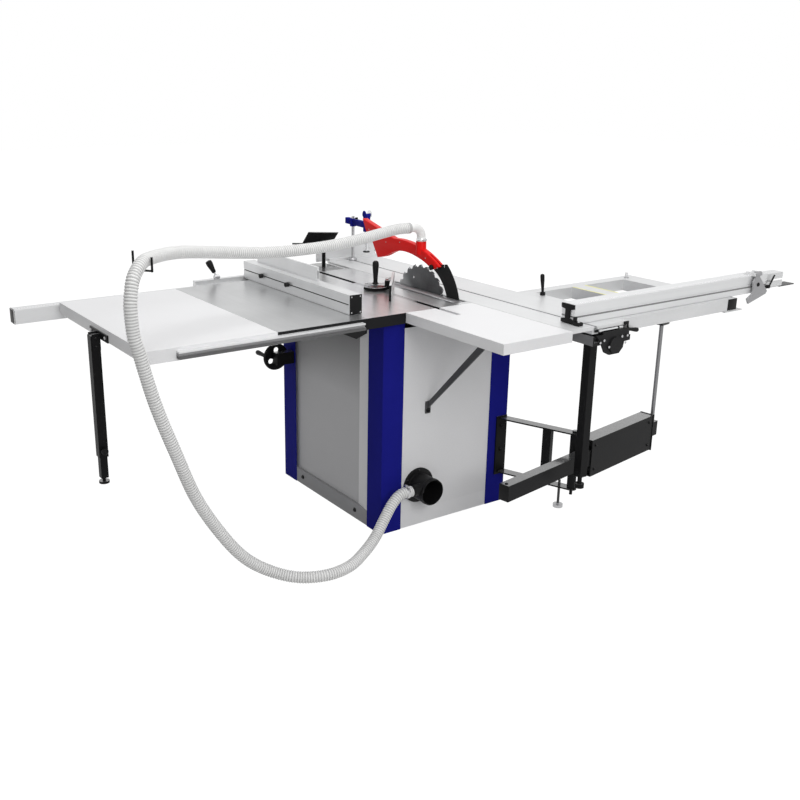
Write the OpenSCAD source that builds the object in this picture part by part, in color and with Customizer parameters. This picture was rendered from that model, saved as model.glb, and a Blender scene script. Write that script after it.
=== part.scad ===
// Sliding table saw: cast table with wings, tilting saw unit in a cabinet, sliding table with a
// crosscut frame on a swing arm, fences, guard, dust hose and support legs. Millimetres, +Z up,
// floor at z = 0, blade in the plane x = 0, cast table centred on y = 0, operator at -y.

/* [Tables] */
// Height of all table tops above the floor
table_z = 850; // [800:5:900]
// Length of the cast table along the cut
table_len = 800; // [780:5:860]
// Distance from the blade to the right edge of the cast table
cast_w = 450; // [430:5:480]
// Thickness of the cast table's plate
plate_t = 12; // [10:0.5:16]
// Depth of the cast table's skirt
skirt_h = 39; // [34:1:44]
// Thickness of the cast table's skirt and ribs
rib_t = 12; // [8:1:16]
// Width of the grey side wing
wing_w = 348; // [250:5:400]
// Depth of the side wing's skirt
wing_h = 36; // [25:1:39]
// Width of the white extension table
ext_w = 452; // [350:5:500]
// Depth of the extension table's skirt
ext_h = 41; // [30:1:50]
// Width of the outfeed table
outfeed_w = 298; // [250:5:330]
// Length of the outfeed table
outfeed_len = 504; // [480:5:540]
// Depth of the outfeed table's skirt
outfeed_h = 36; // [25:1:45]
// Wall of the sheet tables and the side wing
sheet_t = 4; // [2:0.5:6]
// Distance from the blade to the middle of the mitre slot
slot_x = 148; // [140:1:155]
// Width of the mitre slot
slot_w = 19; // [16:0.5:24]
// Depth of the mitre slot
slot_d = 10; // [8:0.5:11]
// Length of the open slot in the outfeed table
outfeed_slot = 120; // [80:5:160]

/* [Blade] */
// Diameter of the saw blade
blade_d = 315; // [300:1:320]
// Thickness of the blade's body
blade_t = 2.2; // [1.8:0.1:2.4]
// Number of blade teeth
blade_teeth = 24; // [12:2:48]
// Height of the blade above the table
blade_up = 98; // [90:1:100]
// Place of the blade's middle along the cut
blade_y = 115; // [105:1:120]
// Radius of the arbor shaft
arbor_r = 15; // [12.5:0.5:16]
// Thickness of the riving knife
knife_t = 2.8; // [2.2:0.1:3]
// Gap between the blade and the riving knife
knife_gap = 8.5; // [5:0.5:10]
// Width of the riving knife
knife_w = 69; // [50:1:72]
// Thickness of the guard
guard_t = 26; // [20:1:30]
// Radius of the white hose elbow on the guard
elbow_r = 17; // [14:0.5:18]

/* [Cabinet] */
// Distance from the blade to the cabinet's right face
cab_right = 354; // [340:1:365]
// Distance from the blade to the cabinet's left face
cab_left = 250; // [248:1:265]
// Distance from the middle of the table to the cabinet's front
cab_front = 347; // [335:1:355]
// Distance from the middle of the table to the cabinet's rear
cab_rear = 363; // [360:1:370]
// Width of each corner post's two sides
post_w = 92; // [70:1:100]
// Sheet thickness of the posts
post_t = 3; // [2:0.5:4]
// Sheet thickness of the panels
panel_t = 2; // [1:0.5:3]
// Height of the base frame
base_h = 62; // [40:1:80]
// Radius of the dust port's spigot
port_r = 50; // [45:0.5:51]
// Wall of the dust port
port_wall = 3; // [2:0.5:4]
// Height of the dust port's middle above the floor
port_z = 164; // [140:1:175]
// Distance from the blade to the dust port's middle
port_x = 183; // [170:1:190]

/* [Sliding table] */
// Width of the sliding table
slide_w = 271; // [268:1:280]
// Length of the sliding table
slide_len = 1485; // [1420:5:1600]
// Place of the sliding table's rear end along the cut
slide_rear = 895; // [888:1:900]
// Thickness of the sliding table's plate
slide_t = 12; // [10:0.5:14]
// Width of the T-slot's mouth
tslot_w = 10; // [8:0.5:12]
// Distance from the blade to the T-slot
tslot_x = 127; // [120:1:132]
// Thickness of the fixed beam's floor
beam_t = 10; // [6:0.5:12]
// Radius of the rollers between beam and sliding table
roller_r = 15.2; // [12:0.1:16]
// Number of roller pairs
roller_n = 7; // [4:1:10]
// Width of the square support column
column_w = 33; // [30:1:50]
// Height of the support column's lower end
column_z = 267; // [240:1:320]

/* [Crosscut frame] */
// Reach of the crosscut frame from the sliding table
frame_w = 631; // [600:5:700]
// Length of the crosscut frame along the cut
frame_len = 520; // [480:5:560]
// Place of the frame's rear edge along the cut
frame_rear = 865; // [855:1:870]
// Height of the frame's profiles
frame_h = 45; // [40:1:55]
// Width of the frame's front and rear profiles
frame_bar = 50; // [40:1:60]
// Width of the frame's outer rail
frame_outer = 92; // [80:1:110]
// Length of the crosscut fence
fence_len = 1040; // [1000:5:1100]
// Width of the crosscut fence
fence_w = 60; // [50:1:62]
// Height of the crosscut fence
fence_h = 67; // [60:1:75]
// Wall of the crosscut fence
fence_wall = 5.6; // [5:0.1:7]
// Length of the pull-out fence extension
fence_ext = 670; // [500:5:700]
// Length of the extension that shows
fence_out = 112; // [90:1:160]

/* [Swing arm] */
// How far the arm's pivot stands behind the cabinet
pivot_out = 287; // [270:1:300]
// How far the arm's pivot stands beside the cabinet's left face
pivot_side = 85; // [75:1:100]
// Radius of the arm's pivot pin
pivot_r = 10; // [8:0.5:12]
// Width of the inner square tube
tube_w = 40; // [35:1:45]
// Height of the inner square tube
tube_h = 60; // [50:1:65]
// Height of the inner tube's middle above the floor
tube_z = 267; // [260:1:272]
// Length of the casing
casing_len = 429; // [400:1:500]
// Height of the casing
casing_h = 146; // [115:1:160]
// Wall of the casing
casing_wall = 4; // [3:0.5:5]
// How far the inner tube sticks out behind the pivot
tube_back = 475; // [380:1:500]
// Radius of the support rod
rod_r = 8; // [6:0.5:10]

/* [Fences] */
// Distance from the blade to the rip fence
rip_x = 425; // [400:1:440]
// Width of the rip fence beam
rip_w = 50; // [40:1:60]
// Height of the rip fence beam
rip_h = 69; // [60:1:80]
// Length of the rip fence beam
rip_len = 778; // [700:1:790]
// Height of the plate on the rip fence
rip_plate_h = 50; // [40:1:80]
// Length of the plate on the rip fence
rip_plate_len = 455; // [400:1:480]
// Thickness of the plate on the rip fence
rip_plate_t = 10; // [6:0.5:14]
// Length of the front rail
rail_len = 1237; // [1200:1:1300]
// Height of the front rail
rail_h = 52; // [40:1:60]
// Width of the front rail
rail_w = 50; // [40:1:52]
// Angle at which the mitre gauge is set
mitre_set = 51.5; // [0:0.5:60]
// Radius of the mitre gauge's head
mitre_r = 55; // [45:1:60]
// Length of the mitre gauge's bar
mitre_bar_len = 400; // [300:5:450]
// Length of the mitre gauge's fence plate
mitre_plate_len = 260; // [200:5:280]

/* [Legs and wheels] */
// Width of the extension table's leg
leg_w = 32; // [28:1:40]
// Height of the leg's foot above the floor with the leg pushed up
leg_foot_z = 298; // [280:1:330]
// Radius of the handwheels
wheel_r = 56; // [50:1:57]
// Height of the tilt handwheel above the floor
wheel_z = 541; // [500:1:600]
// Radius of the height handwheel
lift_wheel_r = 70; // [60:1:80]
// Outer radius of the dust hose
hose_r = 20.5; // [18:0.5:21]
// Depth of the hose's ribs
hose_rib = 2; // [1:0.1:3]
// Number of ribs on the hose
hose_ribs = 180; // [60:1:200]

/* [Hidden] */
$fn = 48;
e = 0.3;      // gap between pieces that move past each other
fit = 0.05;   // radial clearance of a shaft in its hole
gap = 2;      // gap between the cast table and the sliding table
edge_x = -11.5;            // left edge of the cast table
slide_x1 = edge_x - gap;   // right edge of the sliding table
slide_x0 = slide_x1 - slide_w;
y_front = -table_len / 2;
y_rear = table_len / 2;
under_z = table_z - skirt_h;
plate_z = table_z - plate_t;
blade_r = blade_d / 2;
blade_z = table_z + blade_up - blade_r;
wing_x = cast_w + 0.5;
ext_x = wing_x + wing_w;
ext_x1 = ext_x + ext_w;
outfeed_y = y_rear + e;
outfeed_y1 = outfeed_y + outfeed_len;
// throat of the table and its insert
throat_x = 60;
throat_y0 = blade_y - 185;
throat_y1 = y_rear - 25;
insert_t = 8;
// slide beam, under the sliding table
slide_under = table_z - slide_t;
track_r = 4;
beam_x1 = -110;
beam_x0 = slide_x0 + 12.5;
upper_track = slide_under - 2;
beam_floor = upper_track - track_r - 2 * roller_r - 2 * e - track_r - 2;
beam_z = beam_floor - beam_t;
beam_y0 = slide_rear - slide_len;
beam_y1 = slide_rear + 10;
track_x = [-165, -245];
post_top = [beam_z, under_z];

module box(x0, x1, y0, y1, z0, z1) {
  translate([x0, y0, z0]) cube([x1 - x0, y1 - y0, z1 - z0]);
}
module rod_x(x0, x1, y, z, r) {
  translate([x0, y, z]) rotate([0, 90, 0]) cylinder(r = r, h = x1 - x0);
}
module rod_y(x, y0, y1, z, r) {
  translate([x, y0, z]) rotate([-90, 0, 0]) cylinder(r = r, h = y1 - y0);
}
module rod_z(x, y, z0, z1, r) {
  translate([x, y, z0]) cylinder(r = r, h = z1 - z0);
}
// A shape drawn in y and z, as thick as t about x
module slab_x(x, t) {
  translate([x - t / 2, 0, 0]) rotate([90, 0, 90]) linear_extrude(t) children();
}
// A shape drawn in x and z, from y0 to y1
module slab_y(y0, y1) {
  translate([0, y1, 0]) rotate([90, 0, 0]) linear_extrude(y1 - y0) children();
}
// A hexagon head on a face, its axis along +z
module hex_head(r, h) { cylinder(r = r, h = h, $fn = 6); }

// Cabinet
module base_frame() color([0.62, 0.62, 0.63]) {
  x0 = -cab_left + post_t; x1 = cab_right - post_t;
  y0 = -cab_front + post_t; y1 = cab_rear - post_t;
  rail = 40;
  difference() {
    box(x0, x1, y0, y1, 0, base_h);
    box(x0 + rail, x1 - rail, y0 + rail, y1 - rail, post_t, base_h + 1);
  }
}
module corner_post(sx, sy, x, y, top) {
  translate([x, y, 0]) {
    box(min(0, -sx * post_w), max(0, -sx * post_w), min(0, -sy * post_t), max(0, -sy * post_t), 0, top);
    box(min(0, -sx * post_t), max(0, -sx * post_t), min(0, -sy * post_w), max(0, -sy * post_w), 0, top);
  }
}
module corner_posts() color([0.07, 0.09, 0.5]) {
  corner_post(1, 1, cab_right, cab_rear, post_top[1]);
  corner_post(1, -1, cab_right, -cab_front, post_top[1]);
  corner_post(-1, 1, -cab_left, cab_rear, post_top[0]);
  corner_post(-1, -1, -cab_left, -cab_front, post_top[0]);
}
panel_top = beam_z - 3;
inset = 14;
module side_panel() color([0.6, 0.6, 0.61]) {
  x = cab_right - post_t;
  y0 = -cab_front + post_t + panel_t;
  y1 = cab_rear - post_t - panel_t;
  bend = cab_rear - post_w;
  translate([0, 0, base_h]) linear_extrude(under_z - 4 - base_h)
    polygon([[x - inset, y0], [x - inset, bend - 82], [x - panel_t, bend - 4], [x - panel_t, y1],
             [x, y1], [x, bend - 6], [x - inset + panel_t, bend - 84], [x - inset + panel_t, y0]]);
}
module cabinet_panels() color([0.78, 0.78, 0.78]) {
  x0 = -cab_left + post_t; x1 = cab_right - post_t - inset - 1;
  lift_x = lift_wheel_x;
  difference() {
    box(x0, cab_right - post_t - panel_t, cab_rear - post_t - panel_t, cab_rear - post_t,
        base_h, panel_top);
    rod_y(port_x, cab_rear - 20, cab_rear + 20, port_z, port_r - port_wall);
  }
  difference() {
    box(x0, cab_right - post_t - panel_t, -cab_front + post_t, -cab_front + post_t + panel_t,
        base_h, panel_top);
    rod_y(lift_x, -cab_front - 20, -cab_front + 20, lift_wheel_z, 8 + fit);
  }
  box(x0, x0 + panel_t, -cab_front + post_t + panel_t + e, cab_rear - post_t - panel_t - e, base_h, panel_top);
}
// Bolts of the base frame, the brace and the table edge
module frame_bolts() color([0.12, 0.12, 0.12]) {
  for (y = [-205, 185])
    translate([cab_right - post_t, y, base_h * 0.55]) rotate([0, 90, 0]) hex_head(7, 5);
  translate([brace_x, brace_y + 6, brace_z - 8]) rotate([-90, 0, 0]) hex_head(7, 5);
  for (z = [bracket_top - 60, bracket_bottom + 60])
    translate([-cab_left + 28, cab_rear + 6, z]) rotate([-90, 0, 0]) hex_head(8, 6);
}

// Tables
module main_table() color([0.55, 0.56, 0.57]) {
  difference() {
    union() {
      box(edge_x, cast_w, y_front, y_rear, plate_z, table_z);
      box(edge_x, cast_w, y_front, y_front + rib_t, under_z, plate_z);
      box(edge_x, cast_w, y_rear - rib_t, y_rear, under_z, plate_z);
      box(cast_w - rib_t, cast_w, y_front, y_rear, under_z, plate_z);
      box(edge_x, edge_x + rib_t, y_front, throat_y0 - 6, under_z, plate_z);
      box(edge_x, cab_right, -cab_front, -cab_front + rib_t, under_z, plate_z);
      box(throat_x + 6, cab_right, cab_rear - rib_t, cab_rear, under_z, plate_z);
      box(cab_right - rib_t, cab_right, -cab_front, cab_rear, under_z, plate_z);
      box(slot_x - slot_w, slot_x + slot_w, y_front + 1, y_rear - 1, table_z - slot_d - 8, plate_z);
    }
    box(edge_x - 1, throat_x, throat_y0, throat_y1, plate_z - 60, table_z + 1);
    box(slot_x - slot_w / 2, slot_x + slot_w / 2, y_front - 1, y_rear + 1, table_z - slot_d, table_z + 1);
  }
  // ledges that carry the insert and the lip on the other side of the blade
  box(throat_x - 8, throat_x + 0.5, throat_y0, throat_y1, plate_z - 4, table_z - insert_t);
  for (y = [throat_y0 - 0.5, throat_y1 - 9.5])
    box(edge_x, -lip_gap, y, y + 10, plate_z - 4, table_z - lip_t);
}
lip_gap = 3.5;
lip_t = 3;
module table_insert() color([0.4, 0.4, 0.41]) {
  y0 = throat_y0 + e; y1 = throat_y1 - e;
  box(lip_gap, throat_x - e, y0, y1, table_z - insert_t, table_z);
  // lip between blade and sliding table, undercut for the tilted blade
  slab_y(y0, y1) polygon([[edge_x, table_z], [-lip_gap, table_z], [-lip_gap - lip_t, table_z - lip_t],
                          [edge_x, table_z - lip_t]]);
}
// A sheet table: a plate with skirts on all four sides
module tray(x0, x1, y0, y1, h) {
  difference() {
    box(x0, x1, y0, y1, table_z - h, table_z);
    box(x0 + sheet_t, x1 - sheet_t, y0 + sheet_t, y1 - sheet_t, table_z - h - 1, table_z - sheet_t);
  }
}
module side_wing() color([0.5, 0.51, 0.52]) tray(wing_x, ext_x - 0.5, y_front, y_rear, wing_h);
module extension_table() color([0.93, 0.93, 0.93]) tray(ext_x, ext_x1, y_front, y_rear, ext_h);
module outfeed_table() color([0.93, 0.93, 0.93]) {
  difference() {
    tray(edge_x, edge_x + outfeed_w, outfeed_y, outfeed_y1, outfeed_h);
    box(slot_x - slot_w / 2, slot_x + slot_w / 2, outfeed_y - 1, outfeed_y + outfeed_slot,
        table_z - outfeed_h - 1, table_z + 1);
  }
  // cheeks of the open slot
  for (s = [-1, 1])
    box(slot_x + s * (slot_w / 2 + 1) - 1, slot_x + s * (slot_w / 2 + 1) + 1, outfeed_y,
        outfeed_y + outfeed_slot + 2, table_z - outfeed_h, table_z);
}
// Strut from the cabinet's rear up to the outfeed table
brace_x = 148;
brace_y = cab_rear - post_t;
brace_z = 464;
module outfeed_brace() color([0.66, 0.66, 0.67]) {
  top = table_z - sheet_t;
  rise = top - 12 - brace_z;
  run = rise;
  w = 22;
  box(brace_x - w / 2, brace_x + w / 2, brace_y, brace_y + 6, brace_z - 20, brace_z + 26);
  slab_x(brace_x, 6) polygon([[brace_y + 6, brace_z], [brace_y + 6, brace_z + 24],
    [brace_y + run - 20, top - 4], [brace_y + run + 10, top - 4], [brace_y + run + 10, top - 12]]);
  box(brace_x - w / 2, brace_x + w / 2, brace_y + run - 26, brace_y + run + 40, top - 4, top);
}

// Rails of the rip fence
rail_x0 = 170;
rail_top = table_z - 12;
rail_y1 = y_front - 12;
module fence_rails() color([0.8, 0.81, 0.82]) {
  y0 = rail_y1 - rail_w;
  difference() {
    box(rail_x0, rail_x0 + rail_len, y0, rail_y1, rail_top - rail_h, rail_top);
    box(rail_x0 - 1, rail_x0 + rail_len + 1, y0 + 4, rail_y1 - 4, rail_top - rail_h + 4, rail_top - 4);
  }
  box(rail_x0 + rail_len, rail_x0 + rail_len + 5, y0, rail_y1, rail_top - rail_h, rail_top);
  for (x = [rail_x0 + 60, cast_w + 60, ext_x + 60])
    box(x, x + 30, rail_y1, y_front, rail_top - 20, rail_top - 4);
  // rear rail, a small stepped profile on the tables' rear skirts
  slab_rear = 24;
  translate([cast_w + 20, y_rear, table_z - 33]) rotate([90, 0, 90])
    linear_extrude(ext_x1 - 100 - cast_w - 20)
      polygon([[0, 0], [slab_rear, 0], [slab_rear, 7], [15, 10], [15, 16], [slab_rear - 4, 18],
               [slab_rear - 4, 23], [0, 23]]);
}

// Fixed beam of the sliding table with its lower tracks and rear end plate
module slide_beam() color([0.25, 0.25, 0.26]) {
  box(beam_x0, beam_x1, beam_y0, beam_y1, beam_z, beam_floor);
  box(beam_x1 - 4, beam_x1, beam_y0, beam_y1, beam_floor, beam_floor + 23);
  box(beam_x0, beam_x0 + 4, beam_y0, beam_y1, beam_floor, beam_floor + 33);
  for (x = track_x) rod_y(x, beam_y0 + 5, beam_y1 - 5, beam_floor + 2, track_r);
  beam_end_plate();
}
module beam_end_plate() {
  t = beam_floor + 26;
  slab_y(beam_y1, beam_y1 + 6)
    polygon([[beam_x1 - 8, t], [beam_x1 - 34, beam_z + 4], [beam_x1 - 50, beam_z - 26],
             [beam_x1 - 74, beam_z - 38], [beam_x1 - 122, beam_z - 38], [beam_x1 - 140, beam_z - 20],
             [beam_x1 - 144, beam_z], [beam_x0 - 10, beam_z + 2], [beam_x0 - 10, t - 15],
             [beam_x0 - 3, t - 15], [beam_x0 - 3, t + 8], [beam_x1 - 38, t + 8], [beam_x1 - 38, t]]);
  rod_y(beam_x1 - 98, beam_y1 + 6, beam_y1 + 12, beam_z - 6, 28);
}
column_x = -208;
column_y = 805;
module beam_column() color([0.08, 0.08, 0.08]) {
  h = column_w / 2;
  plug = 14;
  difference() {
    box(column_x - h, column_x + h, column_y - h, column_y + h, column_z, beam_z - 6);
    box(column_x - h + 3, column_x + h - 3, column_y - h + 3, column_y + h - 3, column_z + plug,
        beam_z - 7);
    rod_z(column_x, column_y, column_z - 1, column_z + plug + 1, 8 + fit);
  }
  box(column_x - h - 8, column_x + h + 8, column_y - 70, column_y + 70, beam_z - 6, beam_z);
  for (y = [-56, 56]) translate([column_x, column_y + y, beam_z - 13]) hex_head(8, 7);
}
module column_foot() color([0.2, 0.2, 0.2]) {
  rod_z(column_x, column_y, column_z - 28, column_z + 70, 8);
  rod_z(column_x, column_y, column_z - 44, column_z - 28, 17);
}

// Sliding table
module sliding_table() color([0.83, 0.84, 0.85]) {
  c = tslot_x;
  translate([0, slide_rear, 0]) rotate([90, 0, 0]) linear_extrude(slide_len) {
    difference() {
      union() {
        polygon([[slide_x1, table_z], [slide_x1, table_z - 4], [slide_x1 - 8, slide_under],
                 [slide_x0, slide_under], [slide_x0, table_z]]);
        translate([-c - 14, slide_under - 14]) square([28, 15]);
        translate([slide_x0, slide_under - 30]) square([6, 31]);
      }
      translate([-c - tslot_w / 2, table_z - 6]) square([tslot_w, 7]);
      translate([-c - 10, table_z - 20]) square([20, 14.5]);
    }
  }
  for (x = track_x) rod_y(x, slide_rear - slide_len + 5, slide_rear - 5, upper_track, track_r);
}
module roller_carriage() color([0.7, 0.7, 0.72]) {
  z = beam_floor + 2 + track_r + e + roller_r;
  y0 = -430; y1 = 530;
  xm = (track_x[0] + track_x[1]) / 2;
  box(xm - 8, xm + 8, y0, y1, z - 6, z + 6);
  for (i = [0 : roller_n - 1]) {
    y = y0 + 20 + i * (y1 - y0 - 40) / (roller_n - 1);
    rod_x(track_x[1] - 3, track_x[0] + 3, y, z, 4);
    for (x = track_x) rod_x(x - 6, x + 6, y, z, roller_r);
  }
}
// Plate across the operator's end of the sliding table
module end_fence() color([0.86, 0.86, 0.87]) {
  y = slide_rear - slide_len - 10;
  box(slide_x0 + 8, 40, y, y + 6, table_z + 1, table_z + 75);
  box(slide_x0 + 8, slide_x1 - 4, y, y + 24, table_z, table_z + 12);
  for (x = [-218, -245]) translate([x, y + 6, table_z + 45]) rotate([-90, 0, 0]) hex_head(6, 5);
}
lock_x = slide_x0 - 10;
lock_y = slide_rear - 14;
lock_z = slide_under - 22;
module table_lock() color([0.06, 0.06, 0.06]) {
  rod_y(lock_x, lock_y - 8, lock_y + 8, lock_z, 10 - e);
  translate([lock_x, lock_y, lock_z]) rotate([0, -100, 0]) cylinder(r1 = 5, r2 = 8, h = 58);
}

// Crosscut frame
frame_x1 = slide_x0;
frame_x0 = slide_x0 - frame_w;
frame_front = frame_rear - frame_len;
mid_x1 = frame_x1 - 245;
mid_w = 75;
module crosscut_frame() color([0.84, 0.85, 0.86]) {
  z0 = table_z - frame_h;
  difference() {
    box(frame_x0, frame_x1, frame_front, frame_rear, z0, table_z);
    box(mid_x1, frame_x1 - frame_bar, frame_front + frame_bar, frame_rear - frame_bar, z0 - 1, table_z + 1);
    box(frame_x0 + frame_outer, mid_x1 - mid_w, frame_front + frame_bar, frame_rear - frame_bar,
        z0 - 1, table_z + 1);
  }
  // stop pin, support plate under the rear profile's end
  rod_z(frame_x0 + 55, frame_front + 32, table_z, table_z + 21, 6);
  box(frame_x0 - 30, frame_x0 + 70, frame_rear - 62, frame_rear + 6, z0 - 4, z0);
}
lever_x = frame_x1 - 40;
lever_y = 442;
module frame_lever() color([0.06, 0.06, 0.06]) {
  rod_z(lever_x, lever_y, table_z, table_z + 12, 10);
  translate([lever_x, lever_y, table_z + 8]) rotate([0, 6, 0]) cylinder(r1 = 5, r2 = 8, h = 74);
}

// Crosscut fence, pinned in the T-slot
fence_y1 = frame_rear - 22;
fence_yc = fence_y1 - fence_w / 2;
fence_z = table_z + 1;
fence_x1 = -80;
fence_x0 = fence_x1 - fence_len;
in_w = fence_w - 2 * fence_wall;
in_h = fence_h - 2 * fence_wall;
module crosscut_fence() color([0.83, 0.84, 0.85]) {
  difference() {
    box(fence_x0, fence_x1, fence_yc - fence_w / 2, fence_y1, fence_z, fence_z + fence_h);
    box(fence_x0 - 1, fence_x1 - 12, fence_yc - in_w / 2, fence_yc + in_w / 2, fence_z + fence_wall,
        fence_z + fence_h - fence_wall);
    // groove along the face
    box(fence_x0 - 1, fence_x1 - 12, fence_y1 - 2.5, fence_y1 + 1, fence_z + 30, fence_z + 36);
  }
  rod_z(-tslot_x, fence_yc, table_z - 5, fence_z, tslot_w / 2 - e);
  stop_holder();
}
module fence_extension() color([0.76, 0.77, 0.78]) {
  w = in_w - 2 * e; h = in_h - 2 * e;
  z0 = fence_z + fence_wall + e;
  x0 = fence_x0 - fence_out;
  difference() {
    box(x0, x0 + fence_ext, fence_yc - w / 2, fence_yc + w / 2, z0, z0 + h);
    box(x0 - 1, x0 + fence_ext + 1, fence_yc - w / 2 + 4, fence_yc + w / 2 - 4, z0 + 4, z0 + h - 4);
    box(x0 - 1, x0 + fence_ext + 1, fence_yc + w / 2 - 5, fence_yc + w / 2 + 1, z0 + h / 2 - 4, z0 + h / 2 + 4);
  }
  box(x0 - 86, x0 + 10, fence_yc - w / 2 + 2, fence_yc + w / 2 - 2, z0 - 4, z0);
}
// Flip stop on the fence's outer end, its hinge along x above the face
stop_y = fence_y1 + 10;
stop_z = fence_z + fence_h + 8;
stop_x = fence_x0 + 77;
module stop_carrier_shape() {
  box(stop_x - 20, stop_x + 20, fence_yc - 6, fence_y1 - 1, fence_z + fence_h, fence_z + fence_h + 5);
}
module flip_stop() color([0.7, 0.7, 0.71]) {
  difference() {
    union() {
      rod_x(stop_x - 16, stop_x + 16, stop_y, stop_z, 9);
      slab_y(stop_y - 3, stop_y + 3)
        translate([stop_x, stop_z])
          polygon([[13, 0], [13, -13], [24, -30], [20, -66], [24, -76], [52, -92], [40, -112],
                   [-62, -84], [-70, -74], [-13, -13], [-13, 0]]);
    }
    rod_x(stop_x - 40, stop_x + 40, stop_y, stop_z, 4 + fit);
  }
}
module stop_holder() {
  stop_carrier_shape();
  for (s = [-1, 1])
    box(stop_x + s * 20 - 3, stop_x + s * 20 + 3, fence_yc + 4, stop_y + 6, fence_z + fence_h,
        stop_z + 6);
  rod_x(stop_x - 22, stop_x + 22, stop_y, stop_z, 4);
}

// Swing arm: fixed bracket, hinged casing, inner tube with the support rod
pivot_x = -cab_left - pivot_side;
pivot_y = cab_rear + pivot_out;
bracket_top = tube_z + 93;
bracket_bottom = tube_z - 137;
bar_len = sqrt(pow(pivot_side + 25, 2) + pow(pivot_out - 3, 2));
bar_ang = atan2(pivot_out - 3, -(pivot_side + 25));
module swing_bracket() color([0.1, 0.1, 0.1]) {
  box(-cab_left + 3, -cab_left + 55, cab_rear, cab_rear + 6, bracket_bottom - 8, bracket_top + 6);
  difference() {
    union() {
      for (z = [bracket_bottom, bracket_top - 6]) translate([-cab_left + 25, cab_rear + 3, z])
        rotate([0, 0, bar_ang]) {
          translate([0, -20, 0]) cube([bar_len, 40, 6]);
          translate([bar_len, 0, 0]) cylinder(r = 20, h = 6);
        }
      translate([-cab_left + 25, cab_rear + 3, bracket_bottom]) rotate([0, 0, bar_ang])
        translate([bar_len * 0.6 - 4, -13, 0]) cube([34, 26, bracket_top - bracket_bottom]);
    }
    translate([-cab_left + 25, cab_rear + 3, bracket_bottom]) rotate([0, 0, bar_ang])
      translate([bar_len * 0.84, 0, -1]) cylinder(r = 5 + fit, h = 8);
    // the bars end on the plate
    box(-cab_left - 60, -cab_left + 120, cab_rear - 60, cab_rear, bracket_bottom - 1, bracket_top + 1);
  }
  rod_z(pivot_x, pivot_y, bracket_bottom, bracket_top, pivot_r);
  translate([pivot_x, pivot_y, bracket_top]) hex_head(11, 8);
  rod_z(pivot_x, pivot_y, bracket_bottom - 22, bracket_bottom, 6);
}
foot_at = bar_len * 0.84;
foot_x = -cab_left + 25 + foot_at * cos(bar_ang);
foot_y = cab_rear + 3 + foot_at * sin(bar_ang);
module bracket_foot() color([0.35, 0.35, 0.36]) {
  rod_z(foot_x, foot_y, bracket_bottom - 74, bracket_bottom + 26, 5);
  rod_z(foot_x, foot_y, bracket_bottom - 86, bracket_bottom - 74, 19);
}
arm_ang = 189.65;
arm_x0 = 20;
hinge_r = 17;
tube_y1 = -hinge_r - e - casing_wall - e;      // back face of the inner tube, in the arm's own frame
tube_y0 = tube_y1 - tube_w;
arm_x1 = arm_x0 + casing_len;
casing_y1 = tube_y1 + e + casing_wall + 11;       // the casing is deeper than the tube at the back
module arm_frame() { translate([pivot_x, pivot_y, 0]) rotate([0, 0, arm_ang]) children(); }
module swing_casing() color([0.12, 0.12, 0.12]) arm_frame() {
  z0 = tube_z - casing_h / 2; z1 = tube_z + casing_h / 2;
  y0 = tube_y0 - e - casing_wall; y1 = casing_y1;
  rr = (casing_h - tube_h) / 4 - casing_wall / 2 - 2;
  difference() {
    box(arm_x0, arm_x1, y0, y1, z0, z1);
    box(arm_x0 - 1, arm_x1 + 1, y0 + casing_wall, y1 - casing_wall, z0 + casing_wall, z1 - casing_wall);
  }
  for (x = [arm_x0 + 25, arm_x1 - 25], s = [-1, 1])
    rod_y(x, y0 + casing_wall, y1 - casing_wall, tube_z + s * (tube_h / 2 + e + rr), rr);
  difference() {
    union() {
      rod_z(0, 0, bracket_bottom + 6 + e, bracket_top - 6 - e, hinge_r);
      for (z = [tube_z - casing_h / 2 + 8, tube_z + casing_h / 2 - 16])
        box(0, arm_x0 + 40, y1, hinge_r - 4, z, z + 8);
    }
    rod_z(0, 0, bracket_bottom, bracket_top, pivot_r + fit);
  }
}
rod_at = arm_x1 + e + 36;
rod_yc = (tube_y0 + tube_y1) / 2;
module swing_tube() color([0.18, 0.18, 0.18]) arm_frame() {
  z0 = tube_z - tube_h / 2; z1 = tube_z + tube_h / 2;
  difference() {
    box(-tube_back, arm_x1 + e, tube_y0, tube_y1, z0, z1);
    box(-tube_back - 1, arm_x1 - 20, tube_y0 + 4, tube_y1 - 4, z0 + 4, z1 - 4);
  }
  box(arm_x1 + e, arm_x1 + e + 6, tube_y0 - e - casing_wall - 2, casing_y1,
      tube_z - casing_h / 2 - 4, tube_z + casing_h / 2 + 2);
  difference() {
    box(arm_x1 + e + 6, rod_at + rod_r + 10, rod_yc - rod_r - 8, rod_yc + rod_r + 8, tube_z - 24, tube_z + 36);
    rod_z(rod_at, rod_yc, tube_z - 30, tube_z + 40, rod_r + fit);
  }
}
module support_rod() color([0.62, 0.62, 0.63]) arm_frame() {
  rod_z(rod_at, rod_yc, tube_z - 48, table_z - frame_h - e, rod_r);
  box(rod_at - 16, rod_at + 34, rod_yc - 14, rod_yc + 14, table_z - frame_h - 100, table_z - frame_h - 90);
  translate([rod_at + 30, rod_yc, table_z - frame_h - 95]) rotate([0, 88, 0]) cylinder(r = 6, h = 42);
}

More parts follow.
